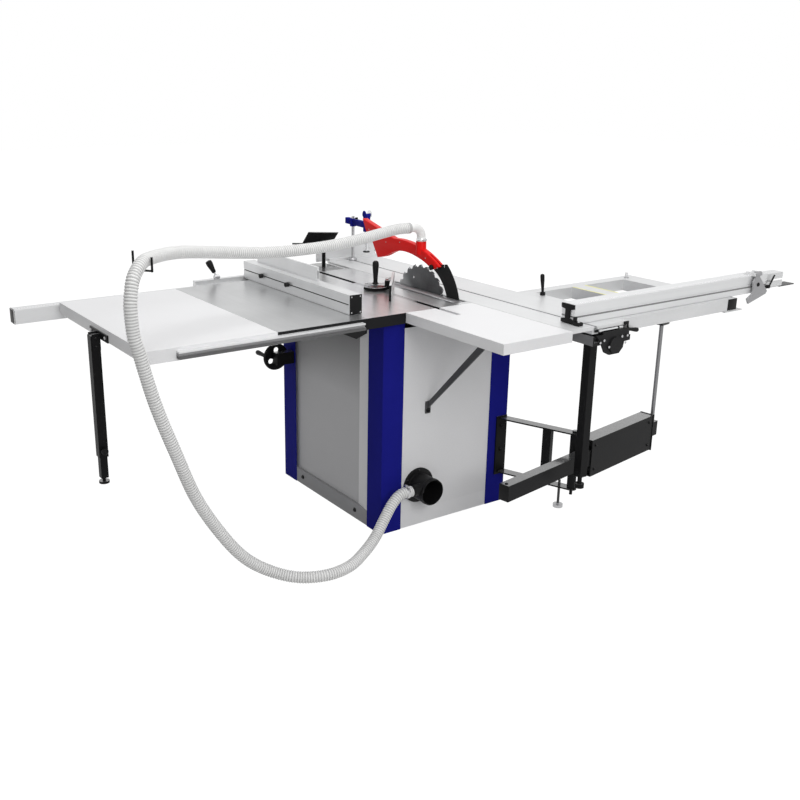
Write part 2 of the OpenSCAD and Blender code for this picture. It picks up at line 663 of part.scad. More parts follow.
// Workpiece clamp in the T-slot
clamp_y = slide_rear - slide_len + 35;
clamp_x = -tslot_x;
clamp_ang = 86;
head_at = 119;
arm_z = table_z + 158;
module clamp_post() color([0.6, 0.6, 0.61]) {
  rod_z(clamp_x, clamp_y, table_z - 5, table_z + e, tslot_w / 2 - e);
  rod_z(clamp_x, clamp_y, table_z + e, table_z + 10, 19);
  rod_z(clamp_x, clamp_y, table_z + 10, arm_z + 38, 7);
}
module clamp_frame() { translate([clamp_x, clamp_y, 0]) rotate([0, 0, clamp_ang]) children(); }
module clamp_arm() color([0.07, 0.09, 0.5]) clamp_frame() {
  difference() {
    union() {
      box(-56, head_at, -10, 10, arm_z, arm_z + 28);
      box(head_at - 13, head_at + 13, -12, 12, arm_z - 16, arm_z + 62);
      rod_y(head_at, -15, -12, arm_z + 60, 16);
      rod_y(head_at, 12, 18, arm_z + 60, 16);
      rod_z(0, 0, arm_z - 6, arm_z + 28, 14);
    }
    rod_z(0, 0, arm_z - 40, arm_z + 40, 7 + fit);
    rod_z(head_at, 0, arm_z - 40, arm_z + 50, 6 + fit);
  }
  rod_z(31, 0, arm_z + 28, arm_z + 36, 6);
}
module clamp_plunger() color([0.7, 0.7, 0.71]) clamp_frame() {
  rod_z(head_at, 0, table_z + 60, arm_z + 40, 6);
  rod_z(head_at, 0, table_z + 54, table_z + 60, 15);
}

// Saw unit that tilts about the table's surface
tr_r0 = 200; tr_r1 = 225; shoe_r1 = 245;
tr_y = [-150, 336];
tr_t = 12;
module ring_sector(r0, r1, a0, a1) {
  // angles from straight down, positive towards +x
  intersection() {
    difference() { circle(r = r1, $fn = 120); circle(r = r0, $fn = 120); }
    polygon([[0, 0], for (i = [0 : 4]) let (a = a0 + (a1 - a0) * i / 4) 3 * r1 * [sin(a), -cos(a)]]);
  }
}
module trunnions() color([0.3, 0.3, 0.32]) for (y = tr_y) slab_y(y, y + tr_t) {
  translate([0, table_z]) ring_sector(tr_r0, tr_r1, -42, 38);
  polygon([[12, plate_z - 14], [12, table_z - tr_r0 - 2], [126, table_z - tr_r0 + 30], [126, plate_z],
           [throat_x + 2, plate_z], [throat_x + 2, plate_z - 14]]);
}
cradle_x = 46;
cradle_t = 8;
module tilt_cradle() color([0.35, 0.35, 0.37]) {
  y0 = tr_y[0] + tr_t + e; y1 = tr_y[1] - e;
  difference() {
    box(cradle_x, cradle_x + cradle_t, y0, y1, 560, table_z - 25);
    box(cradle_x - 1, cradle_x + cradle_t + 1, blade_y - 32, blade_y + 32, blade_z - 80 - 32, table_z);
  }
  for (y = [y0, y1 - 12]) slab_y(y, y + 12)
    polygon([[20, 600], [20, 700], [cradle_x, 800], [135, 800], [135, 600]]);
  for (y = [tr_y[0], y1 - 12]) slab_y(y, y + 12 + tr_t + e)
    translate([0, table_z]) ring_sector(tr_r1 + e, shoe_r1, 6, 34);
}
arbor_x0 = 8;
plate2_x = cradle_x + cradle_t + e;
motor_z = blade_z - 190;
motor_x = 134;
arm_y = [blade_y - 77, blade_y + 77];
module arbor_housing() color([0.45, 0.46, 0.48]) {
  difference() {
    union() {
      rod_x(arbor_x0, plate2_x + 30, blade_y, blade_z, 30);
      box(plate2_x, plate2_x + 8, arm_y[0], arm_y[1], motor_z - 30, blade_z + 26);
      for (y = [arm_y[0], arm_y[1] - 8]) box(plate2_x + 8, motor_x, y, y + 8, motor_z - 40, motor_z + 40);
      // holder of the riving knife
      box(knife_t / 2, arbor_x0 + 6, blade_y + blade_r + knife_gap + 6, blade_y + blade_r + knife_gap + 40,
          blade_z - 60, blade_z - 12);
      box(arbor_x0 + 6, arbor_x0 + 16, blade_y, blade_y + blade_r + knife_gap + 40, blade_z - 60, blade_z - 12);
    }
    rod_x(arbor_x0 - 1, plate2_x + 31, blade_y, blade_z, arbor_r + fit);
  }
}
module knife_shape() {
  translate([blade_y, blade_z]) intersection() {
    difference() {
      circle(r = blade_r + knife_gap + knife_w, $fn = 120);
      circle(r = blade_r + knife_gap, $fn = 120);
    }
    polygon([[0, 0], [300, -53], [420, 0], [420, 215], [154, 181], [112, 174], [80, 172], [63, 148]]);
  }
}
pin_a = 64;
pin_y = blade_y + (blade_r + knife_gap + 11) * cos(pin_a);
pin_z = blade_z + (blade_r + knife_gap + 11) * sin(pin_a);
module riving_knife() color([0.05, 0.05, 0.05]) slab_x(0, knife_t) difference() {
  knife_shape();
  translate([pin_y, pin_z]) circle(r = 4 + fit);
}
cuff_y = blade_y - 10;
cuff_z = table_z + 186;
guard_pts = [[-277, 229], [-60, 176], [-10, 178], [50, 174], [110, 162], [160, 146], [205, 126], [236, 108],
             [196, 92], [172, 100], [140, 113], [106, 122], [60, 131], [5, 134], [-50, 125], [-114, 97],
             [-166, 84], [-202, 140], [-246, 171]];
module blade_guard() color([0.82, 0.1, 0.09]) {
  difference() {
    union() {
      slab_x(0, guard_t) translate([0, table_z]) polygon([for (p = guard_pts) [p[0], p[1]]]);
      rod_z(0, cuff_y, cuff_z - 50, cuff_z, elbow_r + 3);
    }
    // room for the blade's top and the knife
    box(-4, 4, -120, pin_y - 14, table_z + 70, table_z + 112);
    box(-knife_t / 2 - e, knife_t / 2 + e, pin_y - 30, 260, table_z + 60, table_z + 178);
    rod_z(0, cuff_y, cuff_z - 60, cuff_z + 1, elbow_r - 3);
  }
  rod_x(-guard_t / 2 - 6, guard_t / 2 + 6, pin_y, pin_z, 4);
  rod_x(guard_t / 2, guard_t / 2 + 9, pin_y, pin_z, 10);
}
bend_r = 38;
hose_z = cuff_z + 16 + bend_r;
module hose_elbow() color([0.92, 0.92, 0.92]) {
  rod_tube(cuff_y);
}
module rod_tube(y) {
  wall = 2.5;
  translate([0, y, cuff_z]) difference() {
    cylinder(r = elbow_r, h = 16);
    translate([0, 0, -1]) cylinder(r = elbow_r - wall, h = 18);
  }
  translate([bend_r, y, cuff_z + 16]) rotate([90, 0, 0]) rotate([0, 0, 90]) rotate_extrude(angle = 90)
    translate([bend_r, 0]) difference() { circle(r = elbow_r); circle(r = elbow_r - wall); }
  translate([bend_r, y, hose_z]) rotate([0, 90, 0]) difference() {
    cylinder(r = elbow_r, h = 32);
    translate([0, 0, -1]) cylinder(r = elbow_r - wall, h = 34);
  }
}
tooth = 9;
module saw_blade() color([0.7, 0.71, 0.72]) slab_x(0, blade_t) translate([blade_y, blade_z])
  difference() {
    polygon([for (i = [0 : blade_teeth - 1]) let (a = i * 360 / blade_teeth, s = 360 / blade_teeth)
      each [[for (r = [blade_r]) r * cos(a), blade_r * sin(a)],
            blade_r * 0.985 * [cos(a + s * 0.35), sin(a + s * 0.35)],
            (blade_r - tooth) * [cos(a + s * 0.5), sin(a + s * 0.5)],
            (blade_r - tooth) * [cos(a + s * 0.85), sin(a + s * 0.85)]]]);
    circle(r = arbor_r + fit);
  }
pulley_x = 100;
pulley_w = 16;
arbor_pulley_r = 32;
motor_pulley_r = 46;
module arbor() color([0.6, 0.6, 0.62]) {
  rod_x(-22, pulley_x + pulley_w + 2, blade_y, blade_z, arbor_r);
  rod_x(blade_t / 2, arbor_x0 - e, blade_y, blade_z, 28);
  rod_x(-blade_t / 2 - 7, -blade_t / 2, blade_y, blade_z, 25);
  translate([-22, blade_y, blade_z]) rotate([0, 90, 0]) cylinder(r = arbor_r + 2, h = 14, $fn = 6);
  difference() {
    rod_x(pulley_x, pulley_x + pulley_w, blade_y, blade_z, arbor_pulley_r);
    rod_x(pulley_x - 1, pulley_x + 3, blade_y, blade_z, arbor_r - 2);
  }
}
module saw_motor() color([0.2, 0.22, 0.25]) {
  box(motor_x, motor_x + 8, arm_y[0], arm_y[1], motor_z - 77, motor_z + 77);
  difference() {
    rod_x(motor_x + 8, motor_x + 184, blade_y, motor_z, 72);
    rod_x(motor_x + 1, motor_x + 40, blade_y, motor_z, 12 + fit);
  }
}
module motor_pulley() color([0.55, 0.55, 0.57]) {
  rod_x(pulley_x, pulley_x + pulley_w, blade_y, motor_z, motor_pulley_r);
  rod_x(pulley_x + pulley_w, motor_x - e, blade_y, motor_z, 12);
}
module belt_shape(o) {
  ra = arbor_pulley_r + o; rm = motor_pulley_r + o;
  d = blade_z - motor_z;
  a = asin((rm - ra) / d);
  translate([blade_y, blade_z]) circle(r = ra);
  translate([blade_y, motor_z]) circle(r = rm);
  ca = (ra - 0.06) * cos(a); sa = ra * sin(a); cm = (rm - 0.06) * cos(a); sm = rm * sin(a);
  polygon([[blade_y + ca, blade_z + sa], [blade_y - ca, blade_z + sa],
           [blade_y - cm, motor_z + sm], [blade_y + cm, motor_z + sm]]);
}
module drive_belt() color([0.05, 0.05, 0.05]) slab_x(pulley_x + pulley_w / 2, pulley_w - 2)
  difference() { belt_shape(5); belt_shape(e); }

// Handwheels
wheel_x = cab_right + 2 + wheel_r;
wheel_y = -305;
module wheel_disc(r, t) {
  difference() {
    cylinder(r = r, h = t);
    translate([0, 0, t - 5]) difference() { cylinder(r = r - 8, h = 6); cylinder(r = 14, h = 6); }
    for (a = [90, 210, 330]) rotate([0, 0, a]) translate([r * 0.52, 0, -1]) {
      cylinder(r = r * 0.17, h = t + 2);
      rotate([0, 0, 45]) translate([-r * 0.16, -r * 0.16, 0]) cube([r * 0.16, r * 0.16, t + 2]);
    }
  }
}
module hand_wheel(x, y, z, r, shaft, ha) {
  translate([x, y, z]) rotate([90, 0, 0]) {
    wheel_disc(r, 12);
    rotate([0, 0, ha]) translate([r - 11, 0, 5]) { cylinder(r = 4, h = 16); translate([0, 0, 15]) cylinder(r1 = 8, r2 = 10, h = 62); }
    translate([0, 0, -shaft]) cylinder(r = 8, h = shaft);
    cylinder(r = 14, h = 18);
  }
}
module tilt_wheel() color([0.08, 0.08, 0.08]) hand_wheel(wheel_x, wheel_y, wheel_z, wheel_r, 34, 10);
module tilt_gearbox() color([0.1, 0.1, 0.1]) {
  difference() {
    box(cab_right, wheel_x + 20, wheel_y + 8, wheel_y + 44, wheel_z - 24, wheel_z + 26);
    rod_y(wheel_x, wheel_y, wheel_y + 35, wheel_z, 8 + fit);
  }
}
lift_wheel_x = 235;
lift_wheel_z = 560;
module lift_wheel() color([0.08, 0.08, 0.08])
  hand_wheel(lift_wheel_x, -cab_front - 30, lift_wheel_z, lift_wheel_r, 100, 60);

// Operator's box with its tilted plate
ctl_x0 = 0; ctl_x1 = 150;
ctl_y0 = y_front - 200; ctl_y1 = y_front - 4;
ctl_top = table_z - 4;
stop_bx = 110; stop_bz = ctl_top - 50;
panel_lean = 46;
module control_box() color([0.09, 0.09, 0.1]) {
  difference() {
    box(ctl_x0, ctl_x1, ctl_y0, ctl_y1, ctl_top - 130, ctl_top);
    rod_y(stop_bx, ctl_y0 - 1, ctl_y0 + 22, stop_bz, 10 + fit);
  }
  box(40, 100, ctl_y1, -cab_front + post_t, ctl_top - 130, under_z - 6);
  rod_z(58, -505, ctl_top, table_z + 118, 8);
  // panel that leans towards the operator, on its post
  translate([129, -516, table_z + 153]) rotate([0, 0, 146.3]) rotate([-panel_lean, 0, 0])
    translate([0, 0, -6]) linear_extrude(6)
      polygon([[0, 0], [130, 0], [113, 46], [60, 74], [-25, 86], [-73, 86], [-73, 78], [-28, 78]]);
}
module stop_button() color([0.75, 0.08, 0.07]) {
  rod_y(stop_bx, ctl_y0 - 8, ctl_y0 + 12, stop_bz, 10);
  rod_y(stop_bx, ctl_y0 - 22, ctl_y0 - 8, stop_bz, 20);
}

// Rip fence: beam, upper plate, carriage on the front rail, lever
rip_z = table_z + 1;
rip_y0 = -450;
module rip_fence() color([0.78, 0.79, 0.8]) {
  x1 = rip_x + rip_w;
  difference() {
    box(rip_x, x1, rip_y0, rip_y0 + rip_len, rip_z, rip_z + rip_h);
    box(rip_x + 4, x1 - 5, rip_y0 - 1, rip_y0 + rip_len - 6, rip_z + 4, rip_z + rip_h - 4);
    box(x1 - 3, x1 + 1, rip_y0 - 1, rip_y0 + rip_len - 6, rip_z + rip_h / 2 - 2, rip_z + rip_h / 2 + 2);
  }
  for (y = [-290, -90]) {
    rod_x(x1 - 3.5, x1 + 14, y, rip_z + rip_h / 2, 1.5);
    rod_x(x1 + 2, x1 + 14, y, rip_z + rip_h / 2, 9);
  }
}
module rip_carriage() color([0.72, 0.73, 0.74]) {
  box(rip_x - 4, rip_x + 265, rail_y1 - rail_w - 14, rip_y0, rail_top + e, rail_top + 20);
  box(rip_x - 4, rip_x + 265, rail_y1 - rail_w - 14, rail_y1 - rail_w - e, rail_top - 40, rail_top + 20);
}
module rip_plate() color([0.82, 0.82, 0.83])
  difference() {
    translate([rip_x + 3, -400, rip_z + rip_h + e]) rotate([90, 0, 90]) linear_extrude(rip_plate_t)
      polygon([[0, 0], [rip_plate_len, 0], [rip_plate_len, rip_plate_h], [rip_taper, rip_plate_h],
               [0, rip_plate_h * 0.25]]);
    box(rip_x + 6, rip_x + rip_plate_t, rip_taper - 390, -399 + rip_plate_len, rip_z + rip_h + 8,
        rip_z + rip_h + rip_plate_h - 14);
  }
rip_taper = 213;
rip_lever_x = rip_x + 170;
rip_lever_y = rail_y1 - rail_w + 8;
module rip_lever() color([0.2, 0.2, 0.21]) {
  rod_x(rip_lever_x - 12, rip_lever_x + 12, rip_lever_y, rail_top + 28 + e, 8);
  translate([rip_lever_x, rip_lever_y, rail_top + 28]) rotate([12, 24, 0]) {
    cylinder(r = 4, h = 30);
    translate([0, 0, 26]) cylinder(r1 = 7, r2 = 10, h = 46);
  }
}

// Mitre gauge
mitre_y = 15;
module mitre_bar() color([0.45, 0.45, 0.46]) {
  box(slot_x - slot_w / 2 + 0.2, slot_x + slot_w / 2 - 0.2, mitre_y - 145, mitre_y - 145 + mitre_bar_len,
      table_z - slot_d + e, table_z - e);
  rod_z(slot_x, mitre_y, table_z - e, table_z + 4, 8);
}
module mitre_head() color([0.12, 0.12, 0.12])
  translate([slot_x, mitre_y, table_z + 4 + e]) rotate([0, 0, mitre_set]) {
    difference() {
      cylinder(r = mitre_r, h = 14);
      translate([0, 0, -1]) cylinder(r = 6 + fit, h = 16);
      translate([-mitre_r - 1, -mitre_r - 1, -1]) cube([2 * mitre_r + 2, 12, 20]);
    }
    translate([-34, mitre_r - 18, 0]) cube([60, 26, 38]);
    translate([-40, mitre_r + 8, -3]) cube([mitre_plate_len, 9, 60]);
  }
module mitre_handle() color([0.05, 0.05, 0.05]) {
  rod_z(slot_x, mitre_y, table_z + 4 + 2 * e, table_z + 22, 6);
  translate([slot_x, mitre_y, table_z + 18 + 2 * e]) cylinder(r = 12, h = 8);
  translate([slot_x, mitre_y, table_z + 26]) cylinder(r1 = 8, r2 = 12.5, h = 84);
}

// Extension table's leg
leg_x = ext_x1 + 4 + leg_w / 2;
leg_y = 8;
module extension_leg() color([0.08, 0.08, 0.08]) {
  h = leg_w / 2;
  z0 = leg_foot_z + 97; z1 = table_z - 28;
  difference() {
    box(leg_x - h, leg_x + h, leg_y - h, leg_y + h, z0, z1);
    box(leg_x - h + 3, leg_x + h - 3, leg_y - h + 3, leg_y + h - 3, z0 - 1, z1 - 3);
  }
  box(ext_x1, ext_x1 + 4, leg_y - 80, leg_y + 85, z1 - 14, z1 + 12);
  for (s = [-1, 1]) box(ext_x1 + 4, leg_x + h - 4, leg_y + s * (h + 1.5) - 1.5, leg_y + s * (h + 1.5) + 1.5,
                        z1 - 50, z1 + 6);
}
module leg_slider() color([0.1, 0.1, 0.1]) {
  h = leg_w / 2 - 3 - e;
  box(leg_x - h, leg_x + h, leg_y - h, leg_y + h, leg_foot_z + 20, leg_foot_z + 430);
  rod_z(leg_x, leg_y, leg_foot_z + 8, leg_foot_z + 20, 6);
  rod_z(leg_x, leg_y, leg_foot_z, leg_foot_z + 8, 18);
}

// Dust port: flange, open spigot and side branch for the guard's hose
branch_y = cab_rear + 62;
branch_z = port_z + 14;
branch_x1 = port_x + 79;
module dust_port() color([0.07, 0.07, 0.07]) {
  y1 = cab_rear + 92;
  y0 = cab_rear - post_t;
  difference() {
    union() {
      rod_y(port_x, y0, y0 + 8, port_z, 68);
      rod_y(port_x, y0, y1, port_z, port_r);
      rod_x(port_x, branch_x1 - 8, branch_y - 1, branch_z, 21);
    }
    rod_y(port_x, y0 - 1, y1 + 1, port_z, port_r - port_wall);
    rod_x(port_x, branch_x1 + 1, branch_y - 1, branch_z, 15);
  }
  difference() {
    rod_x(branch_x1 - 8, branch_x1, branch_y - 1, branch_z, 19);
    rod_x(branch_x1 - 9, branch_x1 + 1, branch_y - 1, branch_z, 15);
  }
}

// Wire hook that carries the hose at the extension table's corner
hook_x = ext_x1 + 7;
hook_y = y_rear - 31;
module hose_hook() color([0.07, 0.07, 0.07]) {
  r = 3.5;
  rod_z(hook_x, hook_y, table_z - 36, 1150, r);
  box(ext_x1, ext_x1 + 14, hook_y - 8, hook_y + 8, table_z - 38, table_z - 14);
  translate([hook_x, hook_y, 1093.5]) rotate([0, 90, 129.5]) cylinder(r = r - 0.2, h = 60);
  translate([hook_x + 60 * cos(129.5), hook_y + 60 * sin(129.5), 1090]) cylinder(r = r, h = 44);
}

// Route of the free hose, from the guard's elbow over the hook and down to the dust port
route = [[70, 105, 1090], [112, 105, 1090], [170, 112, 1085], [260, 124, 1075], [350, 137, 1067],
  [450, 150, 1062], [580, 168, 1062], [720, 190, 1069], [890, 225, 1090], [1010, 262, 1108],
  [1090, 295, 1118], [1160, 335, 1122], [1217, 375, 1121], [1238, 393, 1118], [1264, 417, 1105],
  [1290, 441, 1078], [1304, 455, 1037], [1310, 462, 995], [1307, 466, 924], [1295, 468, 871],
  [1255, 470, 708], [1196, 466, 537], [1131, 457, 369], [1043, 450, 217], [965, 452, 115],
  [880, 467, 50], [800, 515, 25], [709, 552, 23], [613, 542, 23], [530, 505, 33], [455, 470, 60],
  [400, 446, 105], [352, 430, 150], [310, 424, 176], [262, 424, 178]];
n_route = len(route);
seg = [for (i = [0 : n_route - 2]) norm(route[i + 1] - route[i])];
cum = [for (i = 0, s = 0; i < n_route; s = s + (i < n_route - 1 ? seg[i] : 0), i = i + 1) s];
hose_len = cum[n_route - 1];
function clampi(i) = max(0, min(n_route - 1, i));
function find_seg(s, i = 0) = i >= n_route - 2 || cum[i + 1] > s ? i : find_seg(s, i + 1);
function catmull(p0, p1, p2, p3, t) = 0.5 * ((2 * p1) + (p2 - p0) * t +
  (2 * p0 - 5 * p1 + 4 * p2 - p3) * t * t + (3 * p1 - 3 * p2 + p3 - p0) * t * t * t);
function hose_at(s) = let (i = find_seg(s), t = (s - cum[i]) / seg[i])
  catmull(route[clampi(i - 1)], route[i], route[i + 1], route[clampi(i + 2)], t);
function hose_dir(s) = s < 30 ? [1, 0, 0] : s > hose_len - 30 ? [-1, 0, 0] :
  let (a = hose_at(max(0, s - 4)), b = hose_at(min(hose_len, s + 4))) (b - a) / norm(b - a);
function ring_at(s, r, n = 8) = let (c = hose_at(s), t = hose_dir(s), u0 = [0, 1, 0] - t[1] * t,
  u = u0 / norm(u0), v = cross(t, u)) [for (k = [0 : n - 1]) c + r * (cos(360 * k / n) * u + sin(360 * k / n) * v)];
module dust_hose() color([0.93, 0.93, 0.93]) {
  steps = 2 * hose_ribs;
  bores = 60;
  outer = [for (i = [0 : steps]) each ring_at(hose_len * i / steps,
    i == 0 || i == steps || i % 2 == 0 ? hose_r : hose_r - hose_rib)];
  inner = [for (i = [0 : bores]) each ring_at(hose_len * i / bores, hose_r - hose_rib - 1.6)];
  o = len(outer);
  faces = concat(
    [for (i = [0 : steps - 1], k = [0 : 7]) let (a = i * 8 + k, b = i * 8 + (k + 1) % 8)
      each [[a, b, b + 8], [a, b + 8, a + 8]]],
    [for (i = [0 : bores - 1], k = [0 : 7]) let (a = o + i * 8 + k, b = o + i * 8 + (k + 1) % 8)
      each [[a, b + 8, b], [a, a + 8, b + 8]]],
    [for (k = [0 : 7]) let (a = k, b = (k + 1) % 8) each [[a, o + a, o + b], [a, o + b, b]]],
    [for (k = [0 : 7]) let (a = steps * 8 + k, b = steps * 8 + (k + 1) % 8, c = o + bores * 8 + k,
      d = o + bores * 8 + (k + 1) % 8) each [[a, b, d], [a, d, c]]]);
  polyhedron(points = concat(outer, inner), faces = faces);
}
echo("hose length", hose_len);

base_frame();
corner_posts();
side_panel();
cabinet_panels();
frame_bolts();
main_table();
table_insert();
side_wing();
extension_table();
outfeed_table();
outfeed_brace();
fence_rails();
slide_beam();
beam_column();
column_foot();
sliding_table();
roller_carriage();
end_fence();
table_lock();
crosscut_frame();
frame_lever();
crosscut_fence();
fence_extension();
flip_stop();
swing_bracket();
bracket_foot();
swing_casing();
swing_tube();
support_rod();
clamp_post();
clamp_arm();
clamp_plunger();
trunnions();
tilt_cradle();
arbor_housing();
riving_knife();
blade_guard();
hose_elbow();
saw_blade();
arbor();
saw_motor();
motor_pulley();
drive_belt();
tilt_wheel();
tilt_gearbox();
lift_wheel();
control_box();
stop_button();
rip_fence();
rip_carriage();
rip_plate();
rip_lever();
mitre_bar();
mitre_head();
mitre_handle();
extension_leg();
leg_slider();
dust_port();
hose_hook();
dust_hose();
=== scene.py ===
"""Looks of the sliding table saw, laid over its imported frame. Metres, +Z up, blade in the plane x = 0."""

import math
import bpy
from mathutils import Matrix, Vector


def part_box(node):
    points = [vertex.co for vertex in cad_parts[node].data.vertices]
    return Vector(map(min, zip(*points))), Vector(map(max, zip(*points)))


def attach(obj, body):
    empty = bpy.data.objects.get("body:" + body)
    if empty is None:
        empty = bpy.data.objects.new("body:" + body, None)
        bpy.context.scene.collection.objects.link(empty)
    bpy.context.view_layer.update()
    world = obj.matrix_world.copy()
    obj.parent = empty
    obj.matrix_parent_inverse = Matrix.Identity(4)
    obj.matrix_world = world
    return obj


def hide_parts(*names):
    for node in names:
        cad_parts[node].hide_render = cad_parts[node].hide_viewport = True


bl_info = {
    "name": "Sliding Table Saw",
    "version": (1, 0, 0),
    "blender": (4, 5, 0),
    "location": "3D View > Sidebar > Table Saw",
    "description": "Dresses the table saw's frame with finishes and detailed pieces, and sets its studio",
    "category": "Object",
}

import bpy
from mathutils import Matrix, Vector

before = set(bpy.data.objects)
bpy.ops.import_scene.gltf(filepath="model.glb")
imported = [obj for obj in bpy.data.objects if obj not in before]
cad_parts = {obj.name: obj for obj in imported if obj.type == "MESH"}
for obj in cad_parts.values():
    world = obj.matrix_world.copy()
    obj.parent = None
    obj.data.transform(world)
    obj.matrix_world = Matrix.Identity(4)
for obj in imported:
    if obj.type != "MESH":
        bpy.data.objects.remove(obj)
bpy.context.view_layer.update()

MM = 0.001
BLADE_Y, BLADE_Z = 115, 790.5       # the blade's middle, in millimetres as all sizes of the pieces are

# Heights and places, in metres, at which a finish changes on its piece
# the side sheet is painted paler past STRIP_Y, as a painted highlight on its bevel
STRIP_Y = 0.195                     # the side sheet is bevelled from here on
# painted shade of the table above darkens the side sheet towards the top, between the SHADE_Z heights
SHADE_Z = (0.48, 0.76)              # the side sheet darkens between these
TOP_Z = 0.8495                      # castings are ground above this, and painted below
REAR_Y = 0.395                      # only the rear rail lies past this
# the rear rail's painted shade steps down at these heights
RAIL_FOOT_Z, RAIL_LIP_Z = 0.8255, 0.8345
RIP_GROOVE_X, RIP_GROOVE_Z = (0.4712, 0.4738), (0.8832, 0.8878)
RIP_KNOB_X = 0.4756
# a painted shadow line in the crosscut fence's grooves lies between the FENCE_GROOVE_Z heights
FENCE_GROOVE_Z = (0.8725, 0.8785)
# the plate below STOP_PLATE_Z is painted black as painted shade
STOP_PLATE_Z = 0.858                # the plate under the extension's end lies below this
END_PLATE_Y = 0.9035
ROD_CLAMP_Z = (0.7035, 0.7155)
FOOT_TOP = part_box("bracket_foot")[0][2] + 0.016      # the top of the disc under the bracket


# ---------------------------------------------------------------- shaders
class Wire:
    """A shader socket that takes part in Python arithmetic."""

    def __init__(self, paint, socket):
        self.paint, self.socket = paint, socket

    def _math(self, operation, first, second):
        return self.paint.node("Math", {"operation": operation}, {0: first, 1: second})

    def __add__(self, other):
        return self._math("ADD", self, other)

    __radd__ = __add__

    def __sub__(self, other):
        return self._math("SUBTRACT", self, other)

    def __rsub__(self, other):
        return self._math("SUBTRACT", other, self)

    def __mul__(self, other):
        return self._math("MULTIPLY", self, other)

    __rmul__ = __mul__

    def __pow__(self, other):
        return self._math("POWER", self, other)

    def above(self, edge):
        """1 above the edge, and 0 below it."""
        return self._math("GREATER_THAN", self, edge)

    def within(self, low, high):
        """1 from low to high, and 0 outside."""
        return self.above(low) * (1 - self.above(high))

    def between(self, low, high):
        """0 below low, 1 above high, and a straight rise in between."""
        return self.paint.node("MapRange", {}, {"Value": self, "From Min": low, "From Max": high})


class Paint:
    """The nodes of one material, or of the world, made by node()."""

    def __init__(self, owner):
        self.owner = owner
        owner.use_nodes = True
        owner.node_tree.nodes.clear()

    def node(self, kind, settings, sockets, output=0):
        tree = self.owner.node_tree
        made = tree.nodes.new("ShaderNode" + kind)
        for key, value in settings.items():
            setattr(made, key, value)
        for key, value in sockets.items():
            if isinstance(value, Wire):
                tree.links.new(value.socket, made.inputs[key])
            else:
                made.inputs[key].default_value = value
        return Wire(self, made.outputs[output]) if made.outputs else None

    def place(self, scale=(1, 1, 1), move=(0, 0, 0)):
        """Object coordinates, stretched and moved."""
        return self.node("Mapping", {}, {"Vector": self.node("TexCoord", {}, {}, "Object"), "Scale": scale,
                                         "Location": move})

    def along(self, axis, of="Object"):
        """How far a point lies along an axis or, of "Normal", how far its face looks that way."""
        return self.node("SeparateXYZ", {}, {0: self.node("TexCoord", {}, {}, of)}, axis)

    def noise(self, scale, detail=3.0, stretch=(1, 1, 1), rough=0.55):
        return self.node("TexNoise", {}, {"Vector": self.place(stretch), "Scale": scale, "Detail": detail,
                                          "Roughness": rough}, "Fac")

    def mix(self, factor, a, b):
        """Colour a where factor is 0, b where it is 1."""
        return self.node("Mix", {"data_type": "RGBA"}, {0: factor, 6: rgba(a), 7: rgba(b)}, 2)

    def cloudy(self, a, b, scale=3.0, detail=4.0):
        """Slow changes between two tones."""
        return self.mix(self.noise(scale, detail).between(0.3, 0.7), a, b)

    def worn(self, bands, blotch, light, deep):
        """The light tone of bare metal, the deep one in its bands and blotches."""
        return self.mix(blotch.between(0.35, 0.65) * 0.5 + bands.between(0.3, 0.7) * 0.3, light, deep)

    def bump(self, height, strength, depth, edge=0.0):
        """Relief in the surface's normals, and edges rounded by the width edge."""
        sockets = {"Height": height, "Strength": strength, "Distance": depth}
        if edge:
            sockets["Normal"] = self.node("Bevel", {"samples": 4}, {"Radius": edge})
        return self.node("Bump", {}, sockets)

    def surface(self, **sockets):
        """The finished surface: each word is a socket of the shader, written with _ for a space."""
        named = {key.replace("_", " "): rgba(value) for key, value in sockets.items()}
        self.node("OutputMaterial", {}, {"Surface": self.node("BsdfPrincipled", {}, named)})
        return self.owner


def rgba(value):
    """A colour with its alpha; anything else as it is."""
    return (*value, 1.0) if isinstance(value, tuple) and len(value) == 3 else value


def looks():
    return bpy.context.scene.table_saw_looks


# ---------------------------------------------------------------- finishes
def painted(paint, colour, dull, grain, depth, wear=0.12, edge=0.0012, shine=0.3, metal=0.0):
    """Sprayed metal or moulded plastic: slow changes of tone, a fine grain, and softened edges."""
    fine = paint.noise(grain, 2.0)
    deep = tuple(c * (1 - wear) for c in colour)
    return paint.surface(Base_Color=paint.cloudy(deep, tuple(colour)), Roughness=dull + 0.12 * fine - 0.06,
                         Metallic=metal, Specular_IOR_Level=shine,
                         Normal=paint.bump(fine, 0.25, depth, edge))


def textured(paint, light, dark, speckle):
    """Coarse sprayed coat of the cabinet's sheets."""
    cells = paint.node("TexVoronoi", {}, {"Vector": paint.place(), "Scale": 260.0}, "Distance")
    slow = paint.noise(2.2, 3.0)
    tone = paint.mix(slow.between(0.25, 0.75), dark, light)
    return paint.surface(Base_Color=paint.mix(cells.between(0.0, 0.5) * 0.35, tone, speckle),
                         Roughness=0.42 + 0.1 * slow, Specular_IOR_Level=0.15,
                         Normal=paint.bump(cells, 0.25, 0.0004, 0.0015))


def marks_of(paint, along):
    """Fine marks, broad bands and soft blotches of metal that was ground or drawn along one axis."""
    stretch = tuple(0.03 if i == along else 1.0 for i in range(3))
    return paint.noise(1400.0, 3.0, stretch, 0.7), paint.noise(60.0, 2.0, stretch), paint.noise(5.0, 5.0)


def ground(paint, colour, along, dull=0.36, metal=0.55, depth=0.00012, deepen=0.8):
    """Ground or milled metal, its fine marks running along one axis."""
    marks, bands, blotch = marks_of(paint, along)
    deep = tuple(c * deepen for c in colour)
    tone = paint.worn(bands, blotch, colour, deep)
    return paint.surface(Base_Color=tone, Metallic=metal, Roughness=dull + 0.16 * marks + 0.08 * blotch - 0.1,
                         Normal=paint.bump(marks, 0.2, depth, 0.0008))


